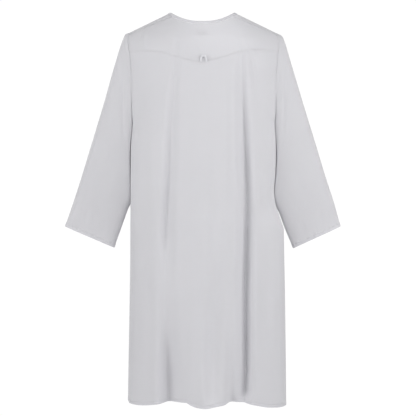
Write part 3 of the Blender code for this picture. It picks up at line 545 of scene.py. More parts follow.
def arc_length(points, axis, backwards=False):
    """How far each point is along its row or column from the first one, or from the last one."""
    if backwards:
        return np.flip(arc_length(np.flip(points, axis=axis), axis), axis=axis)
    steps = np.linalg.norm(np.diff(points, axis=axis), axis=-1)
    first = np.zeros_like(np.take(steps, [0], axis=axis))
    return np.concatenate([first, np.cumsum(steps, axis=axis)], axis=axis)


def crease_depth(creases, x, down):
    """How far the creases pull the cloth inwards at these places."""
    total = np.zeros(x.shape)
    for row in creases:
        run = np.array([row.x1 - row.x0, row.down1 - row.down0])
        length = np.linalg.norm(run)
        run = run / length
        from_start = np.stack([x - row.x0, down - row.down0], axis=-1)
        along = from_start @ run / length
        sideways = from_start @ np.array([-run[1], run[0]])
        bent = sideways - row.bow * 4.0 * along * (1.0 - along)
        ends = bell(2.0 * along - 1.0) ** CREASE_END
        total += row.depth * bell(bent / row.width) * np.where((along > 0) & (along < 1), ends, 0.0)
    return total


def body_waves(lie, shift=0.0):
    u, v = lie.x + shift, lie.down
    total = np.zeros(u.shape)
    for wave in BODY_WAVES:
        drift = WAVES_DRIFT * np.sin(v / wave.along * WAVES_DRIFT_RATE + wave.shift)
        total += wave.height * np.sin(u / wave.across * 2 * math.pi + drift + wave.shift)
    return total * ease((v - WAVES_START) / WAVES_GROWING) * (1.0 - np.abs(lie.across) ** WAVES_STILLNESS)


# Seam relief: how the cloth dips at a seam or a row of stitches and stands up over folded allowances
def dip(distance, at, half_width, depth):
    return depth * bell((distance - at) / half_width)


def plateau(distance, width, height, slope=0.0015):
    return -height * ease((width + slope - distance) / slope)


def wall(name, outer, normals, thickness, uv, closed=False, gap=(0, 0)):
    """A thin closed shell from rows of points on its outer face, with its real size in its UVs."""
    rows, columns = outer.shape[:2]
    inner = outer - normals * np.broadcast_to(thickness, (rows, columns))[..., None]
    points = np.concatenate([outer.reshape(-1, 3), inner.reshape(-1, 3)])
    inside = rows * columns
    spans = columns if closed else columns - 1
    row, column = np.meshgrid(np.arange(rows - 1), np.arange(spans), indexing="ij")
    kept = ~((row < gap[0]) & (column >= gap[1]) & (column < spans - gap[1]))
    row, column = row[kept], column[kept]
    next_column = (column + 1) % columns
    a, b = row * columns + column, row * columns + next_column
    d, c = a + columns, b + columns
    quads = np.stack([a, d, c, b], axis=-1)
    edges = np.concatenate([quads[:, [n, (n + 1) % 4]] for n in range(4)])
    code = edges[:, 0] * inside + edges[:, 1]
    back_code = edges[:, 1] * inside + edges[:, 0]
    rim = edges[~np.isin(code, back_code)]
    sides = np.stack([rim[:, 1], rim[:, 0], rim[:, 0] + inside, rim[:, 1] + inside], axis=-1)
    faces = np.concatenate([quads, quads[:, ::-1] + inside, sides])
    used, faces = np.unique(faces, return_inverse=True)
    faces = faces.reshape(-1, 4)
    flat_uv = np.concatenate([uv.reshape(-1, 2), uv.reshape(-1, 2)])[used]
    return mesh_piece(name, points[used], faces, flat_uv)


def mesh_piece(name, points, faces, uv=None):
    corners = points[faces]
    volume = 0.0
    for n in range(1, faces.shape[1] - 1):
        volume += np.einsum("ij,ij->i", corners[:, 0], np.cross(corners[:, n], corners[:, n + 1])).sum()
    if volume < 0:
        faces = faces[:, ::-1]
    mesh = bpy.data.meshes.new(name)
    mesh.from_pydata(points.tolist(), [], faces.tolist())
    if uv is not None:
        layer = mesh.uv_layers.new(name="cloth")
        layer.data.foreach_set("uv", uv[faces.reshape(-1)].reshape(-1).astype(np.float32))
    mesh.shade_smooth()
    mesh.set_sharp_from_angle(angle=math.radians(60))
    made = bpy.data.objects.new(name, mesh)
    bpy.context.scene.collection.objects.link(made)
    return made


def grid_normals(points, outward, closed=False):
    """Normals of a grid of points, turned to the same side as `outward`."""
    if closed:
        along_row = np.roll(points, -1, axis=1) - np.roll(points, 1, axis=1)
    else:
        along_row = np.gradient(points, axis=1)
    normal = np.cross(along_row, np.gradient(points, axis=0))
    normal = normal / np.maximum(np.linalg.norm(normal, axis=-1, keepdims=True), 1e-12)
    return np.where((normal * outward).sum(axis=-1, keepdims=True) < 0, -normal, normal)


def body_uv(across, path):
    return np.stack(np.broadcast_arrays(across * HALF_WIDTH, path), axis=-1)


def columns_across(fine_x):
    """Shares across, close together at the edges and at the folds' lines."""
    scaled = (EVEN_STEP, SEAM_REACH, SEAM_STEP, FOLD_REACH, FOLD_STEP)
    step, reach, fine_step, fold_reach, fold_step = (value / HALF_WIDTH for value in scaled)
    places = [(-1.0, reach, fine_step), (1.0, reach, fine_step)]
    places += [(float(share_across(x, FOLDS_READ_DOWN)), fold_reach, fold_step) for x in fine_x]
    return spread(-1.0, 1.0, step, places)


def rows_between(length, sewn_at=(0.0, 1.0)):
    """Shares from 0 to 1 down a piece of about this length, close together where it is sewn."""
    step, reach, fine_step = (value / length for value in (ROW_STEP, SEAM_REACH, SEAM_STEP))
    return spread(0.0, 1.0, step, [(at, reach, fine_step) for at in sewn_at])


# Where a piece of the body's cloth lies before its relief, with the way along it from its top and its hem
Lie = namedtuple("Lie", "across path points normals x down from_top from_hem")


def lie_of(across, path):
    across = np.broadcast_to(across, path.shape)
    points = cloth_point(across, path)
    lengths = (arc_length(points, 0), arc_length(points, 0, backwards=True))
    return Lie(across, path, points, cloth_normal(across, path), points[..., 0], -points[..., 2], *lengths)


def body_piece(node, material, lie, relief, thickness=CLOTH, gap=(0, 0)):
    moved, facing = dressed(lie.points, lie.normals, relief)
    uv = body_uv(lie.across, lie.path)
    piece = wall(node + "_cloth", moved, facing, thickness, uv, gap=gap)
    return finish_piece(piece, material, node), moved, facing


def dressed(points, normals, relief, closed=False):
    """The points with creases and seam relief pressed in, and the directions that then face out."""
    moved = points - normals * relief[..., None]
    return moved, grid_normals(moved, normals, closed)


def hem_thickness(from_hem):
    return np.where(from_hem < HEM_TURN, HEM_CLOTH, CLOTH)


# Seams and hems: how wide and high their allowances stand, how deep stitches pull, and where they run,
# measured in from the seam or the hem
FELL_WIDTH = 0.0075
FELL_HEIGHT = 0.0005
FELL_STITCH = FELL_WIDTH - 0.001
HEM_HEIGHT = 0.0004
STITCH_DIP = 0.0010
STITCH_DIP_WIDTH = 0.0020
SEAM_DIP = 0.0008
SEAM_DIP_WIDTH = 0.0016
SIDE_STITCHES = (0.053, 0.067)
SIDE_DIP_WIDTH = 0.0030
HEM_STITCH = 0.0085
SHOULDER_GROOVE = 0.0012
SHOULDER_GROOVE_WIDTH = 0.0040
YOKE_LAP = 0.006
YOKE_TUCK = 0.0005
YOKE_STEP = 0.0005
YOKE_TUCK_SLOPE = 0.001
YOKE_STEP_SLOPE = 0.009
YOKE_STITCH = 0.0015
YOKE_STITCH_SHARE = 0.3
SHOULDER_FELL_SHARE = 0.8
SEAM_FADE = 0.02


def felled(distance):
    """A seam with its allowances folded under one side and stitched down."""
    return (
        dip(distance, 0.0, SEAM_DIP_WIDTH, SEAM_DIP)
        + plateau(distance, FELL_WIDTH, FELL_HEIGHT)
        + dip(distance, FELL_STITCH, STITCH_DIP_WIDTH, STITCH_DIP)
    )


def hemmed(distance):
    return plateau(distance, HEM_TURN, HEM_HEIGHT) + dip(distance, HEM_STITCH, STITCH_DIP_WIDTH, STITCH_DIP)


def lapped(distance):
    """The panel's edge tucked under the yoke, and the cloth beyond it coming out to the yoke's level."""
    tucked = ease((YOKE_LAP + YOKE_TUCK_SLOPE - distance) / YOKE_TUCK_SLOPE)
    stepped = ease((YOKE_LAP + YOKE_TUCK_SLOPE + YOKE_STEP_SLOPE - distance) / YOKE_STEP_SLOPE)
    return YOKE_TUCK * tucked + (1.0 - tucked) * YOKE_STEP * stepped


def from_both_edges(points, form):
    """A seam's relief beside the left edge and beside the right edge."""
    return form(arc_length(points, 1)) + form(arc_length(points, 1, backwards=True))


def side_seam_relief(lie):
    """The two rows of stitches of the side seam, which is felled towards the back."""

    def stitched(distance):
        return sum(dip(distance, at, SIDE_DIP_WIDTH, STITCH_DIP) for at in SIDE_STITCHES)

    return from_both_edges(lie.points, stitched) * ease((lie.down - UNDERARM_DOWN) / SEAM_FADE)


def armhole_relief(lie):
    return from_both_edges(lie.points, felled) * ease((UNDERARM_DOWN - lie.down) / SEAM_FADE + 0.5)


def hem_path(across, table, side):
    x = place(across, HEM_DOWN)
    return path_at(x, smooth_curve(table, "down", x), side)


def make_back_panel(material):
    across = columns_across(FOLD_LINES)[None, :]
    top = yoke_seam_path(place(across, YOKE_DOWN)) + YOKE_LAP
    path = top + (hem_path(across, BACK_HEM, -1) - top) * rows_between(BACK_PANEL_LENGTH)[:, None]
    lie = lie_of(across, path)
    relief = (
        crease_depth(BACK_CREASES, lie.x, lie.down)
        + body_waves(lie)
        + lapped(lie.from_top)
        + hemmed(lie.from_hem)
        + armhole_relief(lie)
        + side_seam_relief(lie)
    )
    return body_piece("back_panel", material, lie, relief, hem_thickness(lie.from_hem))


def corner_columns():
    """The neck's two corners at the shoulder seams: the angle round the neck, and the share across."""
    corners = []
    for side in (-1, 1):
        angle = corner_angle(NECK_EDGE, side)
        x = neck_place(np.array(angle), NECK_EDGE)[0]
        corners.append((angle, float(share_across(x, YOKE_DOWN))))
    return corners


def make_back_yoke(material):
    (left_angle, left), (right_angle, right) = corner_columns()
    step, reach, fine_step = (value / YOKE_HALF_WIDTH for value in (EVEN_STEP, SEAM_REACH, SEAM_STEP))
    left_part = spread(-1.0, left, step, [(-1.0, reach, fine_step)])
    neck = spread(left, right, step)
    right_part = spread(right, 1.0, step, [(1.0, reach, fine_step)])
    columns = np.concatenate([left_part[:-1], neck, right_part[1:]])
    at_neck = slice(len(left_part) - 1, len(left_part) - 1 + len(neck))
    x_low = place(columns, YOKE_DOWN)
    fine = np.linspace(left_angle, right_angle, NECK_STATIONS)
    angles = np.interp(place(neck, YOKE_DOWN), neck_place(fine, NECK_EDGE)[:, 0], fine)
    round_neck = neck_place(angles, NECK_EDGE)
    top = shoulder_seam_path(x_low) - SEAM_GAP / 2
    top[at_neck] = round_neck[:, 1]
    x_top = place(columns, down_at(x_low, top))
    x_top[at_neck] = round_neck[:, 0]
    bottom = yoke_seam_path(x_low) + SEAM_GAP / 2
    across_top = share_at(x_top, top)
    across_top[0], across_top[-1] = -1.0, 1.0
    shares = rows_between(YOKE_LENGTH)[:, None]
    across = across_top + (columns - across_top) * ease(shares)
    lie = lie_of(across, top + (bottom - top) * shares)
    relief = (
        crease_depth(BACK_CREASES, lie.x, lie.down)
        + dip(lie.from_hem, YOKE_STITCH, STITCH_DIP_WIDTH, STITCH_DIP) * YOKE_STITCH_SHARE
        + felled(lie.from_top) * SHOULDER_FELL_SHARE
        + dip(lie.from_top, 0.0, SHOULDER_GROOVE_WIDTH, SHOULDER_GROOVE)
        + armhole_relief(lie)
    )
    return body_piece("back_yoke", material, lie, relief)


# The front's neck: where its rows stop running beside it, and the throat's share of the width lower down
FRONT_NECK_TURN = 2.02
FRONT_SHOULDER_SHARE = 0.56
SHOULDER_SEAM_SHARE = 0.3


def front_neck_angles(side):
    """Angles from the neck's corner over the crest, and on round the throat to its middle."""
    beside = np.linspace(corner_angle(NECK_EDGE, side), side * FRONT_NECK_TURN, BESIDE_NECK_ROWS)
    below = np.linspace(side * FRONT_NECK_TURN, side * math.pi, THROAT_COLUMNS)
    return beside, below[1:]


def front_top_side(side, shoulder_shares):
    """Across and path of the rows over one shoulder and beside the neck, and their across lower down."""
    beside, below = front_neck_angles(side)
    neck_x, neck_path = neck_place(beside, NECK_EDGE).T
    neck_across = share_at(neck_x, neck_path)
    edge = place(np.array(float(side)), SHOULDER_DOWN)
    x = edge + (neck_x[0] - edge) * shoulder_shares
    seam = shoulder_seam_path(x) + SEAM_GAP / 2
    seam[-1] = neck_path[0]
    seam_across = share_at(x, seam)
    share = (seam_across - seam_across[0]) / (seam_across[-1] - seam_across[0])
    over = (neck_path - neck_path[0]) / (neck_path[-1] - neck_path[0])
    across = side + (neck_across[:, None] - side) * share
    path = seam + (neck_path[-1] - seam) * over[:, None]
    throat_x, throat_path = neck_place(below, NECK_EDGE).T
    rows = (len(beside), len(below))
    across = np.hstack([across, np.broadcast_to(share_at(throat_x, throat_path), rows)])
    path = np.hstack([path, np.broadcast_to(throat_path, rows)])
    outer_part = 1.0 - (1.0 - FRONT_SHOULDER_SHARE) * shoulder_shares
    inner_part = FRONT_SHOULDER_SHARE * np.linspace(1.0, 0.0, len(below) + 1)[1:]
    low = side * np.sin(math.pi / 2 * np.concatenate([outer_part, inner_part]))
    return across, path, low


def make_front_panel(material):
    shoulder_shares = spread(0.0, 1.0, SHOULDER_SHARE_STEP, [SHOULDER_FINE])
    sides = zip(*(front_top_side(side, shoulder_shares) for side in (-1, 1)))
    top_across, top_path, low_across = (np.concatenate([a, b[..., -2::-1]], axis=-1) for a, b in sides)
    last_path = path_at(place(low_across, UNDERARM_DOWN), UNDERARM_DOWN, 1)
    shares = spread(0.0, 1.0, CHEST_SHARE_STEP)[1:, None]
    path_rows = top_path[-1] + (last_path - top_path[-1]) * shares
    across_rows = top_across[-1] + (low_across - top_across[-1]) * ease(shares)
    low_shares = rows_between(FRONT_LOW_LENGTH, sewn_at=(1.0,))[1:, None]
    low_path = last_path + (hem_path(low_across, FRONT_HEM, 1) - last_path) * low_shares
    across = np.concatenate([top_across, across_rows, np.broadcast_to(low_across, low_path.shape)])
    lie = lie_of(across, np.concatenate([top_path, path_rows, low_path]))
    relief = (
        crease_depth(FRONT_CREASES, lie.x, lie.down) * (lie.path > 0)
        + body_waves(lie, FRONT_WAVES_SHIFT)
        + dip(lie.from_top, 0.0, SEAM_DIP_WIDTH, SEAM_DIP) * (np.abs(across) > SHOULDER_SEAM_SHARE)
        + hemmed(lie.from_hem)
        + armhole_relief(lie)
    )
    neck_gap = (BESIDE_NECK_ROWS - 1, len(shoulder_shares) - 1)
    return body_piece("front_panel", material, lie, relief, hem_thickness(lie.from_hem), neck_gap)


def sleeve_grid(table, side):
    """Points of the sleeve's outer face: rings from the armhole to the cuff."""
    around = spread(-1.0, 1.0, ROUND_ARM_STEP, [ROUND_ARM_FINE])[:-1]
    deepest = float(path_at(place(np.array(float(side)), UNDERARM_DOWN), UNDERARM_DOWN, 1))
    path = around * deepest
    turn = -math.pi * around
    along = rows_between(SLEEVE_LENGTH)
    values = {name: smooth_curve(table, name, along)[:, None] for name in SleeveRow._fields[1:]}
    cosine, sine = np.cos(turn), np.sin(turn)
    free = ease((along - SLEEVE_LEAVING) / (SLEEVE_FREE - SLEEVE_LEAVING))[:, None]
    square = np.where(cosine > 0, SLEEVE_SQUARENESS, INNER_SQUARENESS)
    reach = (np.abs(cosine) ** square + np.abs(sine) ** square) ** (-1 / square)
    along_width, along_depth = cosine * reach, sine * reach

    def between_edges(column, name):
        outer, inner = column["outer_" + name], column["inner_" + name]
        return (outer + inner) / 2 + along_width * (outer - inner) / 2

    def ring(column):
        y = between_edges(column, "y") - along_depth * column["depth"]
        from_back = column["depth"] * (1.0 - along_depth)
        leaning = side * INNER_LEAN * free * from_back * (1.0 - along_width) / 2
        x = between_edges(column, "x") + leaning
        return np.stack(np.broadcast_arrays(x, y, -between_edges(column, "down")), axis=-1)

    first = ring({name: np.array([[getattr(table[0], name)]]) for name in SleeveRow._fields[1:]})[:1]
    armhole = cloth_point(float(side), path)
    armhole[:, 0] += side * SEAM_GAP
    fade = 1.0 - ease(along / ARMHOLE_BLEND)[:, None, None]
    return lying_beside(ring(values) + (armhole - first) * fade, along, side), along, turn


# Sleeve creases: how far along and the angle round from the outer edge to the back, at both ends, with the
# width and the depth, all in thousandths
SleeveCrease = namedtuple("SleeveCrease", "along0 angle0 along1 angle1 width depth")
SLEEVE_CREASES = in_metres(SleeveCrease, [
    (50, 1000, 350, 2000, 160, 2.4), (100, 2200, 500, 2500, 120, 2),
    (300, 800, 700, 1200, 140, 1.6), (450, 1900, 850, 1700, 140, -1.4),
    (800, 500, 970, 600, 100, 1.4), (840, 1200, 980, 1300, 90, 1.2),
    (860, 1900, 980, 2000, 90, 1.2), (80, -1000, 400, -1900, 160, 2.6),
    (350, -900, 600, -2100, 160, 2.8), (500, -1400, 660, -2400, 120, 2),
])

# The cuff's hem is puckered by its stitching
PUCKER = 0.0008
PUCKER_REACH = 0.012
PUCKERS_ROUND = 37.0
PUCKERS_SHIFT, SHIFTS_ROUND = 3.0, 5.0


def sleeve_creases(along, turn):
    along, turn = along[:, None], turn[None, :]
    total = np.zeros((along.shape[0], turn.shape[1]))
    for row in SLEEVE_CREASES:
        t = (along - row.along0) / (row.along1 - row.along0)
        centre = row.angle0 + (row.angle1 - row.angle0) * t
        ends = np.where((t > 0) & (t < 1), bell(2 * t - 1), 0.0)
        total += row.depth * ends * bell((turn - centre) / (row.width * 2))
    return total


def make_sleeve(node, table, side, material):
    points, along, turn = sleeve_grid(table, side)
    normals = grid_normals(points, points - points.mean(axis=1, keepdims=True), closed=True)
    from_hole, from_cuff = arc_length(points, 0), arc_length(points, 0, backwards=True)
    ripple = np.sin(turn * PUCKERS_ROUND + PUCKERS_SHIFT * np.sin(turn * SHIFTS_ROUND))
    relief = (
        dip(from_hole, 0.0, SEAM_DIP_WIDTH, SEAM_DIP)
        + hemmed(from_cuff)
        + sleeve_creases(along, turn)
        + PUCKER * ripple * bell((from_cuff - HEM_STITCH) / PUCKER_REACH)
    )
    moved, facing = dressed(points, normals, relief, closed=True)
    girth = np.linalg.norm(np.roll(points, -1, axis=1) - points, axis=-1).sum(axis=1).mean()
    round_arm = turn[None, :] / (2 * math.pi) * girth
    uv = np.stack(np.broadcast_arrays(round_arm, along[:, None] * SLEEVE_LENGTH), axis=-1)
    piece = wall(node + "_cloth", moved, facing, hem_thickness(from_cuff), uv, closed=True)
    return finish_piece(piece, material, node), moved, facing


def laid_on(x, path, lift):
    """Points this far above the body's cloth, and the directions that face out there."""
    across = share_at(x, path)
    normal = cloth_normal(across, path)
    return cloth_point(across, path) + normal * np.asarray(lift)[..., None], normal


def strip(rows):
    points, normals = (np.array(part) for part in zip(*rows))
    return points, normals, np.stack([arc_length(points, 1), arc_length(points, 0)], axis=-1)


def make_neck_binding(material):
    """The band round the neck: rounded at its edge, with its lower side stitched down."""
    left, right = (np.concatenate(front_neck_angles(side)) for side in (-1, 1))
    back = np.linspace(left[0], right[0], 70)
    angles = np.concatenate([left[::-1], back[1:-1], right[:-1]])
    offsets = np.array([0.0, 0.03, 0.08, 0.16, 0.3, 0.5, 0.7, 0.78, 0.84, 0.9, 0.96, 1.0])
    raises = np.array([-1.2, -0.2, 0.5, 0.9, 1.05, 1.1, 1.0, 0.75, 0.55, 0.8, 0.6, -0.2]) * BINDING_RAISE
    thins = np.array([0.3, 0.6, 0.9, 1.0, 1.0, 1.0, 1.0, 0.95, 0.9, 0.95, 0.8, 0.4]) * BINDING_THICKNESS
    places = ((neck_place(angles, offset).T, lift) for offset, lift in zip(offsets * BINDING_WIDTH, raises))
    points, normals, uv = strip([laid_on(x, path, lift) for (x, path), lift in places])
    piece = wall("neck_binding_cloth", points, normals, thins[:, None], uv, closed=True)
    return finish_piece(piece, material, "neck_binding"), points, normals


def make_hanger_loop(material):
    """A narrow tape bent into an arch, with its ends at the yoke seam and its bend clear of the cloth."""
    steps = np.linspace(0.0, math.pi, 61)
    half = (LOOP_WIDTH - LOOP_TAPE) / 2
    middle_x = LOOP_CENTRE_X - half * np.sign(np.cos(steps)) * np.abs(np.cos(steps)) ** 0.5
    rise = np.sin(steps) ** 0.8
    foot = float(smooth_curve(YOKE_SEAM, "down", LOOP_CENTRE_X)) - LOOP_FOOT_LAP
    middle_down = foot - (LOOP_HEIGHT - LOOP_TAPE / 2) * rise
    tangent = unit(np.stack([np.gradient(middle_x), -np.gradient(middle_down)], axis=-1))
    sideways = np.stack([-tangent[:, 1], tangent[:, 0]], axis=-1)
    lift = LOOP_LIFT + LOOP_TAPE_THICKNESS + LOOP_STAND_OFF * rise
    rows = []
    for reach in np.linspace(-0.5, 0.5, 9):
        x = middle_x + sideways[:, 0] * reach * LOOP_TAPE
        down = np.minimum(middle_down - sideways[:, 1] * reach * LOOP_TAPE, foot)
        crown = LOOP_CROWN * (1.0 - (2 * abs(reach)) ** 4) - dip(abs(reach), *LOOP_STITCHES)
        rows.append(laid_on(x, path_at(x, down, -1), lift + crown))
    points, normals, uv = strip(rows)
    piece = wall("hanger_loop_tape", points, normals, LOOP_TAPE_THICKNESS, uv)
    return finish_piece(piece, material, "hanger_loop")


def make_neck_label(material):
    """A blank woven label on the inner face of the yoke."""
    x = np.linspace(LABEL_LEFT, LABEL_RIGHT, 30)
    down = np.linspace(LABEL_TOP_DOWN, LABEL_BOTTOM_DOWN, 18)[:, None]
    x, down = np.broadcast_arrays(x, down)
    points, normals = laid_on(x, path_at(x, down, -1), -CLOTH - LABEL_STAND_OFF)
    piece = wall("neck_label_woven", points, normals, LABEL_THICKNESS, np.stack([x, down], axis=-1))
    return finish_piece(piece, material, "neck_label")


def finish_piece(piece, material, node=None):
    piece.data.materials.append(material)
    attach(piece, "root")
    if node:
        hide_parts(node)
    return piece


# Stitches: threads that show on the outside, each a small spindle
STITCH_LENGTH = 0.0027
STITCH_PITCH = 0.0036
THREAD_RADIUS = 0.00028
STITCH_SIDES = 5
SHORTEST_LINE = 4
STITCH_RISE, STITCH_SINK = 0.6, 1.4
# Along a stitch in shares of its length, and its thickness there in shares of the thread's
STITCH_PROFILE = ((-0.5, 0.0), (-0.38, 0.8), (0.0, 1.0), (0.38, 0.8), (0.5, 0.0))


def spindle_faces():
    """The faces of one stitch: a point, three rings and a point."""
    faces = []
    for n in range(STITCH_SIDES):
        m = (n + 1) % STITCH_SIDES
        rings = [(1 + k * STITCH_SIDES + n, 1 + k * STITCH_SIDES + m) for k in range(3)]
        faces.append((0, rings[0][1], rings[0][0]))
        for (a, b), (d, c) in zip(rings, rings[1:]):
            faces += [(a, b, c), (a, c, d)]
        faces.append((*rings[2], 1 + 3 * STITCH_SIDES))
    return np.array(faces)


def stitch_row(lines, name, material):
    """Small threads along the lines, each given as its points and the directions that face out there."""
    spindles = []
    for line, facing in lines:
        if len(line) < SHORTEST_LINE:
            continue
        length = arc_length(line, 0)
        middle = np.arange(STITCH_PITCH, length[-1] - STITCH_PITCH / 2, STITCH_PITCH)
        start, centre, end = (
            on_line(line, length, middle + reach * STITCH_LENGTH) for reach in (-0.5, 0, 0.5)
        )
        run = unit(end - start)
        side = unit(np.cross(unit(on_line(facing, length, middle)), run))
        out = np.cross(run, side)
        sag = centre - (start + end) / 2
        points = []
        for t, width in STITCH_PROFILE:
            heart = (start + end) / 2 + run * t * STITCH_LENGTH + sag * (1 - (2 * t) ** 2)
            heart = heart + out * THREAD_RADIUS * (STITCH_RISE - STITCH_SINK * abs(2 * t) ** 3)
            for n in range(STITCH_SIDES if width else 1):
                turn = n * 2 * math.pi / STITCH_SIDES
                round_heart = math.cos(turn) * side + math.sin(turn) * out
                points.append(heart + THREAD_RADIUS * width * round_heart)
        spindles.append(np.stack(points, axis=1))
    points = np.concatenate(spindles)
    first = np.arange(len(points))[:, None, None] * points.shape[1]
    piece = mesh_piece(name, points.reshape(-1, 3), (first + spindle_faces()).reshape(-1, 3))
    return finish_piece(piece, material)


def on_line(values, length, at):
    return np.stack([np.interp(at, length, values[:, k]) for k in range(3)], axis=-1)


def line_on_grid(points, normals, axis, distance, backwards=False, keep=None):
    """The line at this distance in from an edge of the grid, with its outward directions."""
    lengths = arc_length(points, axis, backwards)
    if axis == 0:
        points, normals, lengths = (np.swapaxes(a, 0, 1) for a in (points, normals, lengths))
    if backwards:
        points, normals, lengths = (a[:, ::-1] for a in (points, normals, lengths))
    line, facing = (
        np.array([on_line(values, at, distance) for values, at in zip(grid, lengths)])
        for grid in (points, normals)
    )
    kept = keep(line) if keep else slice(None)
    return line[kept], facing[kept]


# Materials
SHIRTING = (0.600, 0.596, 0.624)
LABEL_GREY = (0.55, 0.55, 0.58)


def node(tree, kind, **values):
    made = tree.nodes.new(kind)
    for name, value in values.items():
        setattr(made, name, value)
    return made


def math_node(tree, operation, *values):
    made = node(tree, "ShaderNodeMath", operation=operation)
    for socket, value in zip(made.inputs, values):
        if isinstance(value, (int, float)):
            socket.default_value = value
        else:
            tree.links.new(value, socket)
    return made.outputs[0]


def noise(tree, vector, detail, scale=1.0, stretch=(1, 1, 1)):
    mapping = node(tree, "ShaderNodeMapping")
    mapping.inputs["Scale"].default_value = stretch
    tree.links.new(vector, mapping.inputs["Vector"])
    made = node(tree, "ShaderNodeTexNoise")
    made.inputs["Scale"].default_value = scale
    made.inputs["Detail"].default_value = detail
    tree.links.new(mapping.outputs[0], made.inputs["Vector"])
    return made.outputs["Fac"]


def bump(tree, height, strength, distance):
    made = node(tree, "ShaderNodeBump")
    made.inputs["Strength"].default_value = strength
    made.inputs["Distance"].default_value = distance
    tree.links.new(height, made.inputs["Height"])
    return made


def new_material(name, values):
    """A material with these values on its shader, its node tree and the shader."""
    material = bpy.data.materials.new(name)
    material.use_nodes = True
    shader = material.node_tree.nodes["Principled BSDF"]
    for socket, value in values.items():
        shader.inputs[socket].default_value = value
    return material, material.node_tree, shader


def paint(tree, shader, colour, tone):
    """The colour, made lighter and darker by the tone."""
    made = node(tree, "ShaderNodeMix", data_type="RGBA", blend_type="MULTIPLY")
    made.inputs["Factor"].default_value = 1.0
    made.inputs["A"].default_value = (*colour, 1.0)
    tree.links.new(tone, made.inputs["B"])
    tree.links.new(made.outputs["Result"], shader.inputs["Base Color"])


def cloth_material(name, colour, thread=0.00045, roughness=0.82):
    """Fine plain weave: warp and weft cross over and under, with slubs, a slightly uneven tone, and painted
    shade in the gaps between threads.
    """
    material, tree, shader = new_material(name, {
        "Roughness": roughness,
        "Sheen Weight": 0.18,
        "Sheen Roughness": 0.45,
        "Specular IOR Level": 0.25,
        "Subsurface Weight": 0.5,
        "Subsurface Radius": (1.0, 1.0, 1.0),
        "Subsurface Scale": 0.003,
    })
    uv = node(tree, "ShaderNodeUVMap", uv_map="cloth").outputs[0]
    where = node(tree, "ShaderNodeTexCoord").outputs["Object"]
    split = node(tree, "ShaderNodeSeparateXYZ")
    tree.links.new(uv, split.inputs[0])
    turns = [math_node(tree, "MULTIPLY", split.outputs[k], math.pi / thread) for k in (0, 1)]
    crossing = math_node(tree, "MULTIPLY", *(math_node(tree, "SINE", turn) for turn in turns))
    weave = math_node(tree, "ABSOLUTE", crossing)
    slub_u = noise(tree, uv, 3.0, stretch=(900.0, 26.0, 1.0))
    slub_v = noise(tree, uv, 3.0, stretch=(26.0, 900.0, 1.0))
    slubs = math_node(tree, "ADD", slub_u, slub_v)
    tone = math_node(tree, "MULTIPLY_ADD", slubs, 0.020, 0.955)
    # The noise is tone that differs at random over the cloth. The weave's pattern makes the gaps between
    # threads a little darker, which is painted shade.
    for uneven_tone_and_thread_gap_shade in (noise(tree, where, 3.0, scale=7.0), weave):
        tone = math_node(tree, "MULTIPLY", tone, math_node(tree, "MULTIPLY_ADD", uneven_tone_and_thread_gap_shade, 0.030, 0.985))
    paint(tree, shader, colour, tone)
    creped = bump(tree, noise(tree, uv, 4.0, stretch=(120.0, 90.0, 1.0)), 0.25, 0.0012)
    woven = bump(tree, math_node(tree, "MULTIPLY_ADD", slubs, 0.5, weave), 0.35, 0.00006)
    tree.links.new(creped.outputs[0], woven.inputs["Normal"])
    tree.links.new(woven.outputs[0], shader.inputs["Normal"])
    return material


def thread_material(name, colour):
    material, tree, shader = new_material(name, {"Roughness": 0.6, "Sheen Weight": 0.2})
    twist = noise(tree, node(tree, "ShaderNodeTexCoord").outputs["Object"], 1.0, scale=900.0)
    paint(tree, shader, colour, math_node(tree, "MULTIPLY_ADD", twist, 0.16, 0.92))
    return material


# Stage, light and camera
FLOOR_DOWN = 2.00
FLOOR_RADIUS = 0.85

# The world is white behind the robe and dimmer as a light
BACKDROP = 1.02
WORLD_LIGHT = 0.43
LIGHTS = [
    ("key", (0.30, -1.3, -0.36), 1.3, 7.9),
    ("above", (0.0, -1.2, 1.7), 1.6, 1.0),
    ("left_side", (-2.3, -1.6, 0.10), 1.6, 39.0),
    ("right_side", (2.3, -1.4, 0.10), 1.6, 31.0),
    ("front_key", (-0.9, 2.2, 0.2), 1.6, 40.0),
]
LIGHTS_AIM = (0.0, 0.0, -0.5)


def make_floor():
    bpy.ops.mesh.primitive_circle_add(
        vertices=96, radius=FLOOR_RADIUS, fill_type="NGON", location=(0, 0, -FLOOR_DOWN)
    )
    floor = bpy.context.object
    floor.name = "floor"
    material = new_material("floor_white", {"Base Color": (0.92, 0.92, 0.93, 1.0), "Roughness": 0.9})[0]
    floor.data.materials.append(material)


def make_light(name, location, size, power):
    light = bpy.data.lights.new(name, "AREA")
    light.shape = "SQUARE"
    light.size = size
    light.energy = power
    lamp = bpy.data.objects.new(name, light)
    lamp.location = location
    aim = np.array(LIGHTS_AIM) - np.array(location)
    pitch = math.atan2(math.hypot(aim[0], aim[1]), -aim[2])
    lamp.rotation_euler = (pitch, 0.0, math.atan2(aim[1], aim[0]) - math.pi / 2)
    bpy.context.scene.collection.objects.link(lamp)


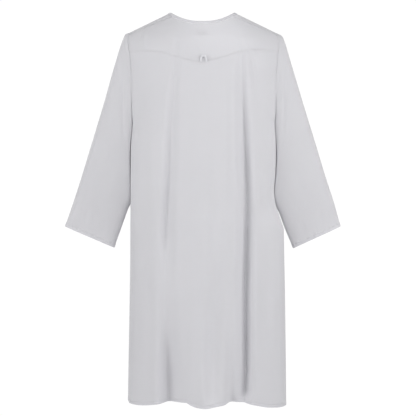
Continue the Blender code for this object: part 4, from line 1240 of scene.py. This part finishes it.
def make_light_and_camera():
    scene = bpy.context.scene
    scene.view_settings.view_transform = "Standard"
    world = bpy.data.worlds.new("studio")
    scene.world = world
    world.use_nodes = True
    tree = world.node_tree
    background = tree.nodes["Background"]
    background.inputs["Color"].default_value = (1.0, 1.0, 1.0, 1.0)
    rays = node(tree, "ShaderNodeLightPath")
    seen = rays.outputs["Is Camera Ray"]
    strength = math_node(tree, "MULTIPLY_ADD", seen, BACKDROP - WORLD_LIGHT, WORLD_LIGHT)
    tree.links.new(strength, background.inputs["Strength"])
    for name, location, size, power in LIGHTS:
        make_light(name, location, size, power)
    camera = bpy.data.cameras.new("camera")
    camera.sensor_width = SENSOR
    camera.lens = SENSOR * CAMERA_DISTANCE / (PHOTO_PIXELS * PIXEL)
    eye = bpy.data.objects.new("camera", camera)
    eye.location = (CAMERA_X, -CAMERA_DISTANCE, CAMERA_Z)
    eye.rotation_euler = (math.pi / 2, 0.0, 0.0)
    scene.collection.objects.link(eye)
    scene.camera = eye


def ring_line(line, facing):
    return np.concatenate([line, line[:1]]), np.concatenate([facing, facing[:1]])


def main():
    shirting = cloth_material("shirting_weave", SHIRTING)
    binding = cloth_material("binding_weave", SHIRTING)
    tape = cloth_material("tape_weave", SHIRTING, thread=0.0004)
    woven = cloth_material("label_weave", LABEL_GREY, thread=0.0003, roughness=0.6)
    thread = thread_material("sewing_thread", SHIRTING)

    back, *back_grid = make_back_panel(shirting)
    yoke, *yoke_grid = make_back_yoke(shirting)
    front, *front_grid = make_front_panel(shirting)
    left, *left_grid = make_sleeve("sleeve_left", LEFT_SLEEVE, -1, shirting)
    right, *right_grid = make_sleeve("sleeve_right", RIGHT_SLEEVE, 1, shirting)
    band, band_points, band_facing = make_neck_binding(binding)
    loop = make_hanger_loop(tape)
    label = make_neck_label(woven)

    def above_underarm(line):
        return -line[:, 2] < UNDERARM_DOWN

    def below_underarm(line):
        return -line[:, 2] > UNDERARM_DOWN + SEAM_FADE / 2

    both_ways = (False, True)
    armhole_stitches = stitch_row([
        line_on_grid(*grid, 1, FELL_STITCH, backwards, above_underarm)
        for grid in (back_grid, yoke_grid, front_grid) for backwards in both_ways
    ], "armhole_stitches", thread)
    side_stitches = stitch_row([
        line_on_grid(*back_grid, 1, at, backwards, below_underarm)
        for at in SIDE_STITCHES for backwards in both_ways
    ], "side_seam_stitches", thread)
    hems, cuffs = (
        [line_on_grid(*grid, 0, HEM_STITCH, True) for grid in grids]
        for grids in ((back_grid, front_grid), (left_grid, right_grid))
    )
    hem_stitches = stitch_row(hems, "hem_stitches", thread)
    cuff_stitches = stitch_row([ring_line(*cuff) for cuff in cuffs], "cuff_stitches", thread)
    yoke_line = line_on_grid(*yoke_grid, 0, YOKE_STITCH, True)
    yoke_stitches = stitch_row([yoke_line], "yoke_stitches", thread)
    neck_line = ring_line(band_points[BINDING_STITCH], band_facing[BINDING_STITCH])
    neck_stitches = stitch_row([neck_line], "neck_stitches", thread)

    make_floor()
    make_light_and_camera()


main()
